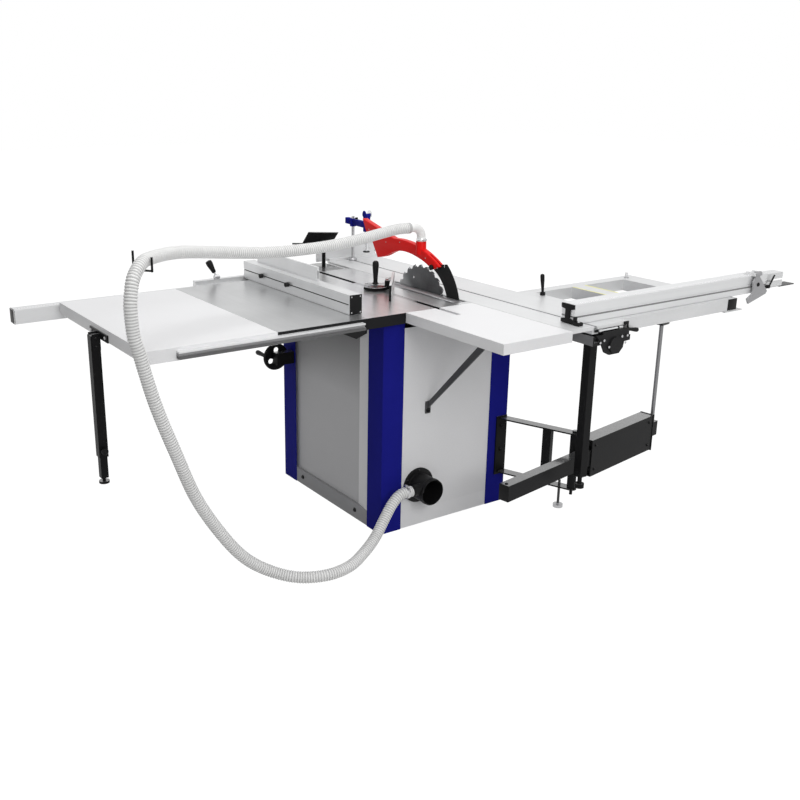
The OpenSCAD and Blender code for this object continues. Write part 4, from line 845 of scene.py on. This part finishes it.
class TABLESAW_OT_elbow(bpy.types.Operator):
    """Makes the white elbow on the guard's cuff, with its steel clamp"""

    bl_idname = "tablesaw.elbow"
    bl_label = "Hose Elbow"

    def execute(self, context):
        x, y, z = CUFF
        bend = 38                   # radius of the elbow's middle line
        route = [(x, y, z + rise) for rise in (0, 4, 8, 12)]
        route += [(across, y, up) for across, up in arc(bend, 180, 90, 20, (bend, z + 16))]
        route += [(out, y, z + 16 + bend) for out in (44, 50, 56, 62, 70)]
        line = [Vector(p) * MM for p in route]
        radii = [0.0165 + 0.0005 * math.cos(1.9 * i) for i in range(len(line))]
        finished("hose_elbow_pipe", (
            skin("elbow_pipe", WHITE, line, radii, 28),
            turned("clamp_band", CHROME, ((17.1, -5), (18.2, -5), (18.6, -4), (18.6, 4), (18.2, 5), (17.1, 5)),
                   (x, y, z + 7), sides=40),
            block("clamp_housing", CHROME, (-6, 122, 1038), (6, 128, 1048), 1),
            pin("clamp_screw", STEEL, (-10, 126, 1043), (10, 126, 1043), 3, sides=12),
            turned("sleeve", WHITE, ((18.5, -14), (20.3, -13), (20.3, 0), (18.5, 1)), route[-1], (1, 0, 0), 40),
        ), "guard", "hose_elbow", slot="white_plastic")
        return {"FINISHED"}


class TABLESAW_OT_blade(bpy.types.Operator):
    """Makes the saw blade: gullets, carbide tips, expansion slots and arbor hole"""

    bl_idname = "tablesaw.blade"
    bl_label = "Saw Blade"

    def execute(self, context):
        teeth, radius, thick = looks().teeth, 157.5, 2.2
        step = 2 * math.pi / teeth
        # One tooth and its gullet: how far in from the rim, and at what share of the way to the next tooth
        tooth = ((1.2, 0.0), (2.6, 0.30), (6.5, 0.52), (11, 0.60), (12.5, 0.70), (11.5, 0.82), (8, 0.92),
                 (7, 0.985))
        outline = []
        for i in range(teeth):
            for deep, share in tooth:
                a = i * step + share * step
                outline.append(((radius - deep) * math.cos(a), (radius - deep) * math.sin(a)))
        disc = plate("blade_disc", BLADE, outline, thick * 0.8, at(x=-thick * 0.4) @ ACROSS_X, 0)
        tools = [turned("hole", BLADE, ((15, -10), (15, 10)), axis=(1, 0, 0), sides=40)]
        slit = block("slit", BLADE, (-5, 112, -1.1), (5, 146.6, 1.1), 0)
        eye = turned("eye", BLADE, ((4.2, -10), (4.2, 10)), (0, 112, 0), (1, 0, 0), 16)
        for tool in (slit, eye):
            tools += copies(tool, [spin(90 * i + 27, "X") for i in range(4)])
        soften(cut(disc, *tools), 0, angle=30)
        tip = block("tip", CHROME, (-thick / 2, radius - 9.5, -3.4), (thick / 2, radius - 0.1, -0.4), 0.25, 1)
        tips = copies(tip, [Matrix.Rotation(i * step + 0.028, 4, "X") for i in range(teeth)])
        finished("saw_blade_disc", (disc, *tips), "blade", "saw_blade", slot="steel", stand=at(0, BLADE_Y, BLADE_Z))
        return {"FINISHED"}


def handwheel(name, radius, place, handle_turn, shaft):
    """A moulded wheel with three drop-shaped windows, a hub and a handle, its face towards -y."""
    rim = turned("rim", PLASTIC, ((radius - 11, 1), (radius - 5, 0), (radius - 1.5, 1.5), (radius, 5.5),
                                  (radius - 1, 10), (radius - 5, 12), (radius - 9, 11), (radius - 10, 7),
                                  (15, 5), (14, 6), (13.5, 16), (12, 18)), sides=64)
    drop = arc(radius * 0.2, 130, -130, 14, (radius * 0.53, 0)) + [(radius * 0.29, 0)]
    cut(rim, *copies(plate("window", PLASTIC, drop, 30, at(z=-8), 0), [spin(90), spin(210), spin(330)]))
    soften(rim, 0.5, 2, 40)
    axle = pin("axle", STEEL, (0, 0, -shaft), (0, 0, 2), 8)
    cap = turned("cap", STEEL, ((5, 17.5), (5, 19.5), (3, 20.5)), sides=24)
    stud = pin("stud", STEEL, (0, 0, 5), (0, 0, 22), 4)
    grip = turned("grip", PLASTIC, ((7, 20), (8, 21), (7.6, 30), (8.8, 48), (10, 68), (10, 76), (8.4, 81),
                                    (4, 83)), sides=32)
    handle = moved(joined("handle", stud, grip), spin(handle_turn) @ at(x=radius - 11))
    finished(name + "_moulded", (rim, axle, cap, handle), name, name, slot="black_plastic",
             stand=at(*place, 90, "X"))


class TABLESAW_OT_handwheels(bpy.types.Operator):
    """Makes the two handwheels, for the blade's tilt and its height"""

    bl_idname = "tablesaw.handwheels"
    bl_label = "Handwheels"

    def execute(self, context):
        handwheel("tilt_wheel", 56, (412, -305, 541), 10, 34)
        handwheel("lift_wheel", 70, (235, -377, 560), 60, 100)
        return {"FINISHED"}


CLAMP_POST = (-127, -555)


class TABLESAW_OT_clamp(bpy.types.Operator):
    """Makes the blue hold-down arm with its chrome cam, and the plunger under it"""

    bl_idname = "tablesaw.clamp"
    bl_label = "Hold-down Clamp"

    def execute(self, context):
        x, y = CLAMP_POST
        turn = at(x, y, 0, 86)
        base = 1008

        def bore(x, radius, top):
            return turned("bore", BLUE, ((radius, -60), (radius, top)), (x, 0, base))

        parts = [
            cut(block("beam", BLUE, (-56, -9.5, base + 0.5), (108, 9.5, base + 27.5), 2.5, 3), bore(0, 13.5, 60)),
            cut(turned("hub", BLUE, ((12.5, -6), (14, -4.5), (14, 26.5), (12.5, 28)), (0, 0, base)),
                bore(0, 7.1, 60)),
            cut(block("head", BLUE, (106, -12, base - 16), (132, 12, base + 62), 4, 3), bore(119, 6.1, 50)),
            turned("cheek", BLUE, ((13, -15), (16, -13), (16, -11.5)), (119, 0, base + 60), (0, 1, 0)),
            turned("cam", CHROME, ((16, 11.5), (16, 16.5), (13, 18), (5, 18), (4, 16)), (119, 0, base + 60),
                   (0, 1, 0)),
            pin("lock_stem", STEEL, (31, 0, base + 27), (31, 0, base + 32), 4),
            turned("lock_knob", PLASTIC, ((6, 0), (6.4, 1), (6.4, 6), (5, 7)), (31, 0, base + 29), sides=20)]
        finished("clamp_arm_cast", parts, "clamp_head", "clamp_arm", slot="blue_paint", stand=turn)
        stem = pin("stem", CHROME, (119, 0, 908), (119, 0, base + 40), 6)
        pad = turned("pad", PLASTIC, ((13, 904), (15, 905), (15, 908), (12, 910), (7, 911)), (119, 0, 0))
        finished("clamp_plunger_stem", (stem, pad), "plunger", "clamp_plunger", slot="steel", stand=turn)
        parts = [pin("post", STEEL, (x, y, 859), (x, y, 1046), 7),
                 turned("post_ring", STEEL, ((17, 850.1), (19, 851), (19, 858), (17, 860), (7, 860)), (x, y, 0)),
                 pin("slot_nut", STEEL, (x, y, 845.2), (x, y, 850.4), 4.6, 0.3)]
        finished("clamp_post_turned", parts, "clamp_stand", "clamp_post", slot="steel")
        return {"FINISHED"}


MITRE_PIN = (148, 15)


class TABLESAW_OT_mitre(bpy.types.Operator):
    """Makes the mitre gauge's head with its dial, its fence plate and its handle"""

    bl_idname = "tablesaw.mitre"
    bl_label = "Mitre Gauge"

    def execute(self, context):
        x, y = MITRE_PIN
        radius = 55
        face, back = radius + 8, radius + 17
        land = arc(radius - 1.5, -46, 226, 56) + arc(radius - 12, 226, -46, 56)
        parts = [plate("dial", COAT, arc(radius, -52, 232, 56), 10, at(z=0.5), 1.2),
                 plate("dial_land", STEEL, land, 1.0, at(z=10.0), 0.2, 1),
                 plate("dial_web", COAT, arc(radius - 14, -44, 224, 44), 2.6, at(z=10.0), 1.0)]
        for first, length in ((-43, 5.5), (-38, 3.5)):
            tick = block("tick", COAT, (radius - 2 - length, -0.25, 10.9), (radius - 2, 0.25, 11.25), 0)
            parts += copies(tick, [spin(first + 10 * i) for i in range(27)])
        head = block("head_web", COAT, (-34, radius - 18, 0.5), (26, radius + 7.5, 36), 3, 3)
        parts.append(cut(head, block("recess", COAT, (-28, radius - 30, 14), (20, radius + 2, 30), 2)))
        parts += copies(bolt("mitre_bolt", STEEL, (0, radius + 1, 36), (0, 0, 1), 4.5, 4), [at(-22), at(12)])
        fence = block("mitre_face", "extrusion_x", (-40, face, -2.6), (220, back, 57), 0.8)
        grooves = [block("groove", "extrusion_x", (-50, back - 2, 24), (230, back + 3, 32), 0),
                   block("groove", "extrusion_x", (-50, face - 3, 40), (230, face + 1.5, 44), 0)]
        parts += [cut(fence, *grooves), block("mitre_face_end", PLASTIC, (220, face + 0.2, -2.4),
                                              (222, back - 0.2, 56.8), 0.4, 1)]
        finished("mitre_head_cast", parts, "mitre_turn", "mitre_head", slot="black_steel",
                 stand=at(x, y, 854, 51.5))
        stem = pin("stem", STEEL, (x, y, 854.7), (x, y, 874), 5.8)
        grip = turned("grip", PLASTIC, ((9, 869), (12, 870), (12, 874), (9, 877), (8.2, 884), (9.6, 905),
                                        (12, 935), (12.5, 948), (11, 956), (6, 960)), (x, y, 0), sides=36)
        finished("mitre_handle_grip", (stem, grip), "mitre_knob", "mitre_handle", slot="black_plastic")
        return {"FINISHED"}


class TABLESAW_OT_controls(bpy.types.Operator):
    """Makes the operator's box with its lid, its leaning panel on a post and the button's bore"""

    bl_idname = "tablesaw.controls"
    bl_label = "Operator's Box"

    def execute(self, context):
        case = block("case", PLASTIC, (0, -600, 716), (150, -404, 842), 4, 3)
        hole = turned("bore", PLASTIC, ((10.1, -1), (10.1, 40)), (110, -602, 796), (0, 1, 0))
        parts = [cut(case, hole), block("lid", COAT, (3, -597, 841), (147, -407, 846), 1.5),
                 block("stay", COAT, (40, -405, 716), (100, -360, 805), 1),
                 pin("panel_post", COAT, (58, -505, 845), (58, -505, 967), 8, 1)]
        screw = turned("lid_screw", STEEL, ((3.4, 0), (3.4, 1.0), (2.4, 1.6)), (0, 0, 845.2), sides=14)
        parts += copies(screw, [at(x, y) for x in (12, 138) for y in (-588, -416)])
        ring = turned("button_ring", STEEL, ((9, 0), (9, 1), (8, 1.8), (7, 1.8)), (0, -601, 796), (0, -1, 0))
        parts += copies(ring, [at(30), at(60)])
        outline = ((1, 1), (129, 1), (112, 45), (60, 73), (-25, 85), (-72, 85), (-72, 79), (-28, 79))
        lean = at(129, -516, 1003, 146.3) @ spin(-46, "X") @ at(z=-5.8)
        parts.append(plate("panel_sheet", COAT, outline, 5.6, lean, 1.2))
        finished("control_box_case", parts, "base", "control_box", slot="black_plastic")
        return {"FINISHED"}


PORT = (183, 164)                   # the port's middle, in x and z
BRANCH = (424, 178)                 # its branch's middle, in y and z


class TABLESAW_OT_port(bpy.types.Operator):
    """Makes the dust port: bolted flange, spigot and the branch with its hose clamp"""

    bl_idname = "tablesaw.port"
    bl_label = "Dust Port"

    def execute(self, context):
        x, z = PORT
        back = Vector(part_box("dust_port")[0]).y / MM
        wall = ((47, 0), (68, 0.2), (68, 6.5), (66.5, 8), (51.5, 8.5), (50, 10), (50, 74), (51.5, 76), (51.5, 80),
                (50, 82), (50, 91), (49.2, 92), (47.2, 92), (47.2, 0.5))
        stub = ((21, 35), (21, 71), (18.6, 72), (18.6, 79), (15.4, 79), (15.2, 35))
        parts = [turned("spigot", PLASTIC, wall, (x, back, z), (0, 1, 0), 72),
                 turned("branch", PLASTIC, stub, (x, *BRANCH), (1, 0, 0), 40)]
        screw = bolt("flange_screw", COAT, (x, back + 7.6, z), (0, 1, 0), 4, 3.5)
        parts += copies(screw, [at(across, 0, up) for across, up in arc(60, 30, 330, 5)])
        finished("dust_port_moulded", parts, "base", "dust_port", slot="black_plastic")
        parts = [turned("band", STEEL, ((20.8, -6), (22, -6), (22.4, -5), (22.4, 5), (22, 6), (20.8, 6)),
                        (284, *BRANCH), (1, 0, 0), 40),
                 block("band_housing", STEEL, (279, 418, 199), (289, 430, 206), 1),
                 pin("band_screw", STEEL, (284, 412, 203), (284, 436, 203), 3, sides=12)]
        finished("hose_band", parts, "base", slot="steel")
        return {"FINISHED"}


def ruler(low, high):
    """A white strip between two corners, with a mark every 10 mm along x and a longer one every 50 mm."""
    parts, x, top = [block("strip", "white_coat", low, high, 0)], low[0] + 2, high[2]
    places = range(round((high[0] - low[0]) / 10))
    for is_long, gap in ((True, 3), (False, 7)):
        mark = block("mark", COAT, (x - 0.35, low[1] + gap, top - 0.4), (x + 0.35, high[1] - 0.5, top + 0.15), 0)
        parts += copies(mark, [at(x=10 * i) for i in places if (i % 5 == 0) is is_long])
    return parts


class TABLESAW_OT_fence_trim(bpy.types.Operator):
    """Adds the crosscut fence's black end cap and foot, its scale, its catch and the flip stop's bolt"""

    bl_idname = "tablesaw.fence_trim"
    bl_label = "Crosscut Fence Trim"

    def execute(self, context):
        shape = ((784, 852), (842, 852), (842, 864), (824, 868), (824, 898), (842, 902), (842, 917), (784, 917),
                 (784, 902), (802, 898), (802, 868), (784, 864))
        parts = [plate("cap", PLASTIC, shape, 5, at(x=-80) @ ACROSS_X, 1),
                 block("foot", PLASTIC, (-96, 842.5, 850.2), (-72, 868, 862), 2),
                 block("foot_lug", PLASTIC, (-88, 841, 850.2), (-74, 848, 878), 1.5),
                 bolt("foot_screw", STEEL, (-84, 858, 861.4), (0, 0, 1), 4, 4)]
        finished("fence_end_cap", parts, "fence", slot="black_plastic")
        finished("fence_scale", ruler((-1112, 822, 917.6), (-92, 836, 918.4)), "fence", slot="white_paint")
        parts = [block("catch_plate", PLASTIC, (-1141, 842.4, 858), (-1112, 846.2, 872), 0.6),
                 pin("catch_lever", PLASTIC, (-1134, 848, 866), (-1161, 848, 908), 3.2),
                 turned("catch_boss", PLASTIC, ((6, 0), (7, 1), (7, 5.4), (6, 6.4)), (-1133, 844.4, 865),
                        (0, 1, 0), 24)]
        finished("catch", parts, "fence", slot="black_plastic")
        placed(bolt("stop_bolt", PLASTIC, (-1050, 855.8, 884), (0, 1, 0), 6, 4.5), "stop", slot="black_plastic")
        return {"FINISHED"}


FRAME_LEVER = (-324.5, 442)


class TABLESAW_OT_frame_trim(bpy.types.Operator):
    """Adds the crosscut frame's yellow lines, end caps, collar and screws, and its clamp lever"""

    bl_idname = "tablesaw.frame_trim"
    bl_label = "Crosscut Frame Trim"

    def execute(self, context):
        lines = [block("strip", "yellow_tape", (x - 3.5, 395.5, 849.8), (x + 3.5, 814.5, 850.7), 0)
                 for x in (-600.5, -533.5)]
        finished("frame_strips", lines, "slider", slot="aluminium")
        parts = [block("front_cap", PLASTIC, (-913.5, 343, 807), (-825.5, 345.5, 848), 0.8),
                 block("rear_cap", PLASTIC, (-915.5, 863.8, 806.5), (-864, 866.6, 848.6), 0.8),
                 turned("collar", STEEL, ((9, 850), (10, 850.8), (10, 853), (8, 854), (6.2, 854)),
                        (-860.5, 377, 0), sides=28)]
        screw = turned("screw", STEEL, ((5, 0), (5, 1.6), (3.5, 2.8), (1.5, 2.8)), (0, 0, 849.8), sides=18)
        parts += copies(screw, [at(-904, 812), at(-904, 850), at(-875, 812)])
        finished("frame_caps", parts, "slider", slot="black_plastic")
        x, y = FRAME_LEVER
        hub = turned("lever_hub", PLASTIC, ((9, 0), (10, 1), (10, 11), (8.5, 12)), (x, y, 850))
        grip = turned("lever_grip", PLASTIC, ((4.5, 0), (5, 4), (5.5, 20), (7.8, 50), (8.2, 64), (7.6, 71),
                                              (4, 74)), sides=28)
        moved(grip, at(x, y, 858, 6, "Y"))
        screw = turned("lever_screw", STEEL, ((3.5, 0), (3.5, 1), (2, 1.6)), (x, y, 862), sides=12)
        finished("frame_lever_moulded", (hub, grip, screw), "frame_handle", "frame_lever", slot="black_plastic")
        return {"FINISHED"}


LOCK_PIN = (-294.5, 881, 816)


class TABLESAW_OT_beam_end(bpy.types.Operator):
    """Makes the fittings on the sliding table's rear end: caps, bar, screws and lock lever"""

    bl_idname = "tablesaw.beam_end"
    bl_label = "Beam End"

    def execute(self, context):
        head = ((4.4, 0), (4.4, 0.5), (3, 0.7), (1.4, 0.7), (1, 0.5))
        spots = ((-150, 803), (-132, 797), (-176, 777), (-254, 782), (-262, 806), (-236, 806))
        screws = copies(turned("screw", STEEL, head, (0, 916.6, 0), (0, 1, 0), 18), [at(x, 0, z) for x, z in spots])
        finished("beam_screws", screws, "base", slot="steel")
        # All that rides on the sliding table stays above the beam's end plate, whose top is at 829
        corner = ((-284, 808.5), (-284, 849.5), (-262, 849.5), (-262, 838.5), (-278.5, 838.5), (-278.5, 808.5))
        cap = plate("cap", PLASTIC, corner, 4, at(y=899) @ ACROSS_Y, 0.6)
        bar = pin("pull_bar", CHROME, (-150, 901, 834), (-226, 901, 834), 3.8)
        legs = [block("bar_leg", STEEL, (x - 4, 894.6, 830), (x + 4, 903, 838), 1) for x in (-154, -222)]
        cover = block("cover", PLASTIC, (-262, 894.8, 829.8), (-121, 898.4, 838.4), 0.8)
        pads = [block("pad", "extrusion_x", (x - 8, 898, 830), (x + 8, 903, 838), 1) for x in (-146, -244)]
        finished("slider_end_fittings", (cap, cover, bar, *legs, *pads), "slider", slot="steel")
        hub = turned("hub", PLASTIC, ((8.5, -8), (9.7, -7), (9.7, 7), (8.5, 8)), LOCK_PIN, (0, 1, 0), 32)
        grip = turned("grip", PLASTIC, ((4.4, 0), (4.8, 8), (6, 25), (8, 50), (7.6, 56), (4, 58)), sides=28)
        moved(grip, at(*LOCK_PIN, -100, "Y"))
        finished("table_lock_moulded", (hub, grip), "lock_lever", "table_lock", slot="black_plastic")
        return {"FINISHED"}


RIP_LEVER = (595, -454, 866)


class TABLESAW_OT_rip_trim(bpy.types.Operator):
    """Adds the rip fence's end cap, small knobs and clamp lever, and the front rail's cap and scale"""

    bl_idname = "tablesaw.rip_trim"
    bl_label = "Rip Fence Trim"

    def execute(self, context):
        parts = [block("cap", PLASTIC, (425.5, 327.5, 851.5), (474.5, 331, 919.5), 0.8)]
        screw = turned("cap_screw", STEEL, ((2.6, 0), (2.6, 0.8), (1.6, 1.4)), (0, 330.8, 0), (0, 1, 0), 12)
        parts += copies(screw, [at(x, 0, z) for z in (858, 913) for x in (432, 468)])
        knob = turned("knob", PLASTIC, ((7, 2), (9, 3), (9, 12), (7.5, 14)), (475, 0, 885.5), (1, 0, 0), 14)
        parts += copies(knob, [at(y=-290), at(y=-90)])
        finished("rip_fence_fittings", parts, "rip", slot="black_plastic")
        x, y, z = RIP_LEVER
        pivot = turned("pivot", STEEL, ((7, -12), (8, -11), (8, 11), (7, 12)), (x, y, z + 0.3), (1, 0, 0))
        stem = pin("stem", STEEL, (0, 0, 2), (0, 0, 32), 4)
        grip = turned("grip", PLASTIC, ((7, 20), (8.4, 22), (10, 36), (13, 54), (13.6, 64), (12, 71), (6, 73)),
                      sides=28)
        arm = moved(joined("arm", stem, grip), at(x, y, z) @ spin(24, "Y") @ spin(12, "X"))
        finished("rip_lever_moulded", (pivot, arm), "rip_handle", "rip_lever", slot="black_plastic")
        cap = block("rail_cap", PLASTIC, (1406.6, -462, 786), (1412, -412, 838), 1)
        parts = [cap] + ruler((460, -440, 837.7), (1400, -426, 838.4))
        finished("rail_fittings", parts, "base", slot="black_plastic")
        return {"FINISHED"}


class TABLESAW_OT_fasteners(bpy.types.Operator):
    """Adds the bolts of the cabinet, the leg and the swing arm, a black plate standing for the shade under the
    tables, and the inner tube's cap
    """

    bl_idname = "tablesaw.fasteners"
    bl_label = "Fasteners"

    def execute(self, context):
        base = copies(bolt("base_bolt", COAT, (350.6, 0, 34), (1, 0, 0), 6.8, 5.5), [at(y=-205), at(y=185)])
        base += copies(bolt("bracket_bolt", COAT, (-222, 369, 0), (0, 1, 0), 7.8, 6), [at(z=325), at(z=225)])
        base.append(bolt("brace_bolt", COAT, (148, 366, 456), (0, 1, 0), 6.8, 5.5))
        finished("frame_bolt_heads", base, "base", "frame_bolts", slot="black_steel")
        # a black plate put in the dark wedge under the table's edge, as painted shade
        wedge = plate("table_gusset", COAT, ((90, 717), (190, 718), (254, 753), (254, 800), (90, 800)), 3,
                      at(x=350.2) @ ACROSS_X, 0.6, 1)
        placed(wedge, "base", slot="black_steel")
        leg = copies(bolt("leg_bolt", STEEL, (1254.2, 0, 821), (1, 0, 0), 5, 4), [at(y=-62), at(y=70)])
        leg += copies(bolt("leg_bolt", COAT, (1270, 27, 0), (0, 1, 0), 4.5, 3.2), [at(z=784), at(z=812)])
        leg.append(turned("leg_knob", PLASTIC, ((5, 0), (5, 6), (11, 8), (12, 10), (12, 16), (10, 18)),
                          (1270.5, 24, 420), (0, 1, 0), 16))
        finished("leg_fittings", leg, "base", slot="steel")
        turn = at(-335, 650, 0, 189.65)
        arm = []
        for y, out in ((-6.4, 1), (-66.1, -1)):
            arm += copies(bolt("roller_bolt", COAT, (0, y, 0), (0, out, 0), 4.5, 3.5),
                          [at(x, 0, z) for x in (45, 424) for z in (219.2, 314.8)])
        finished("casing_bolts", arm, "arm", slot="black_steel", stand=turn)
        end = block("tube_cap", PLASTIC, (-478, -61, 238), (-474.7, -22, 296), 1.5)
        peg = bolt("tube_bolt", PLASTIC, (-462, -41.5, 295.8), (0, 0, 1), 5, 4)
        finished("tube_end", (end, peg), "arm_tube", slot="black_plastic", stand=turn)
        return {"FINISHED"}


class TABLESAW_OT_insert(bpy.types.Operator):
    """Makes the table insert with its slot and countersunk screws"""

    bl_idname = "tablesaw.insert"
    bl_label = "Table Insert"

    def execute(self, context):
        sheet = block("insert", INSERT, (3.5, -69.7, 842), (59.7, 374.7, 850), 0.5, 1)
        spots = [(44, y, 0) for y in (-55.7, 360.7)]
        for spot in spots:
            cut(sheet, turned("sink", INSERT, ((2.6, 843), (2.6, 846.4), (5.6, 849.6), (5.6, 851)), spot, sides=20))
        screw = ((2.5, 843.5), (2.5, 846.4), (5.2, 849.2), (4.6, 849.5), (1.6, 849.5), (1.4, 848.4))
        parts = [sheet] + copies(turned("screw", STEEL, screw, sides=20), [at(*spot) for spot in spots])
        parts.append(plate("lip", INSERT, ((-11.5, 847), (-6.5, 847), (-3.5, 850), (-11.5, 850)), 444.4,
                           at(y=374.7) @ ACROSS_Y, 0))
        finished("table_insert_ground", parts, "base", "table_insert", slot="steel")
        return {"FINISHED"}


# ---------------------------------------------------------------- carried-over nodes
NODE_FINISH = {
    "machine_blue": ("corner_posts", "clamp_arm"),
    "panel_grey": ("side_panel",),
    "base_grey": ("base_frame",),
    "white_coat": ("extension_table", "outfeed_table"),
    "ground_iron": ("main_table",),
    "panel_pale": ("cabinet_panels",),
    "rail_metal": ("fence_rails",),
    "foot_steel": ("bracket_foot",),
    "stop_grey": ("flip_stop",),
    "wing_iron": ("side_wing",),
    "insert_steel": ("table_insert",),
    "extrusion_y": ("sliding_table",),
    "fence_metal": ("rip_plate", "rip_carriage"),
    "rip_metal": ("rip_fence",),
    "extension_metal": ("fence_extension",),
    "brace_grey": ("outfeed_brace",),
    "support_steel": ("support_rod",),
    "extrusion_x": ("crosscut_frame", "end_fence"),
    "fence_extrusion": ("crosscut_fence",),
    "bright_steel": ("roller_carriage", "clamp_post", "clamp_plunger", "arbor", "motor_pulley", "mitre_bar"),
    "beam_grey": ("slide_beam",),
    "black_paint": ("frame_bolts", "beam_column", "column_foot", "swing_bracket", "swing_casing",
                    "swing_tube", "riving_knife", "saw_motor", "tilt_gearbox", "extension_leg", "leg_slider",
                    "hose_hook"),
    "black_plastic": ("table_lock", "frame_lever", "tilt_wheel", "lift_wheel", "control_box", "rip_lever",
                      "mitre_head", "mitre_handle", "dust_port"),
    "red_plastic": ("blade_guard", "stop_button"),
    "raw_iron": ("trunnions", "tilt_cradle", "arbor_housing"),
    "belt_rubber": ("drive_belt",),
    "blade_steel": ("saw_blade",),
    "hose_white": ("hose_elbow",),
}


class TABLESAW_OT_finishes(bpy.types.Operator):
    """Gives every piece of the frame that shows its paint, metal or plastic"""

    bl_idname = "tablesaw.finishes"
    bl_label = "Finishes"

    def execute(self, context):
        for look, nodes in NODE_FINISH.items():
            for node in nodes:
                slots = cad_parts[node].data.materials
                slots.clear()
                slots.append(material(look))
        return {"FINISHED"}


PIECES = (TABLESAW_OT_stage, TABLESAW_OT_hose, TABLESAW_OT_guard, TABLESAW_OT_knife, TABLESAW_OT_elbow,
          TABLESAW_OT_blade, TABLESAW_OT_handwheels, TABLESAW_OT_clamp, TABLESAW_OT_mitre, TABLESAW_OT_controls,
          TABLESAW_OT_port, TABLESAW_OT_fence_trim, TABLESAW_OT_frame_trim, TABLESAW_OT_beam_end,
          TABLESAW_OT_rip_trim, TABLESAW_OT_fasteners, TABLESAW_OT_insert, TABLESAW_OT_finishes)


class TABLESAW_PT_panel(bpy.types.Panel):
    """Lists the saw's pieces in the sidebar"""

    bl_idname = "TABLESAW_PT_panel"
    bl_label = "Table Saw"
    bl_space_type = "VIEW_3D"
    bl_region_type = "UI"
    bl_category = "Table Saw"

    def draw(self, context):
        for word in ("blue", "red", "white", "teeth", "rib_pitch", "rib_depth"):
            self.layout.prop(context.scene.table_saw_looks, word)
        for piece in PIECES:
            self.layout.operator(piece.bl_idname)


CLASSES = (TableSawLooks,) + PIECES + (TABLESAW_PT_panel,)


def register():
    for kind in CLASSES:
        bpy.utils.register_class(kind)
    bpy.types.Scene.table_saw_looks = bpy.props.PointerProperty(type=TableSawLooks)


def unregister():
    del bpy.types.Scene.table_saw_looks
    for kind in reversed(CLASSES):
        bpy.utils.unregister_class(kind)


def main():
    register()
    for piece in PIECES:
        group, word = piece.bl_idname.split(".")
        getattr(getattr(bpy.ops, group), word)()
    only()


if __name__ == "__main__":
    main()
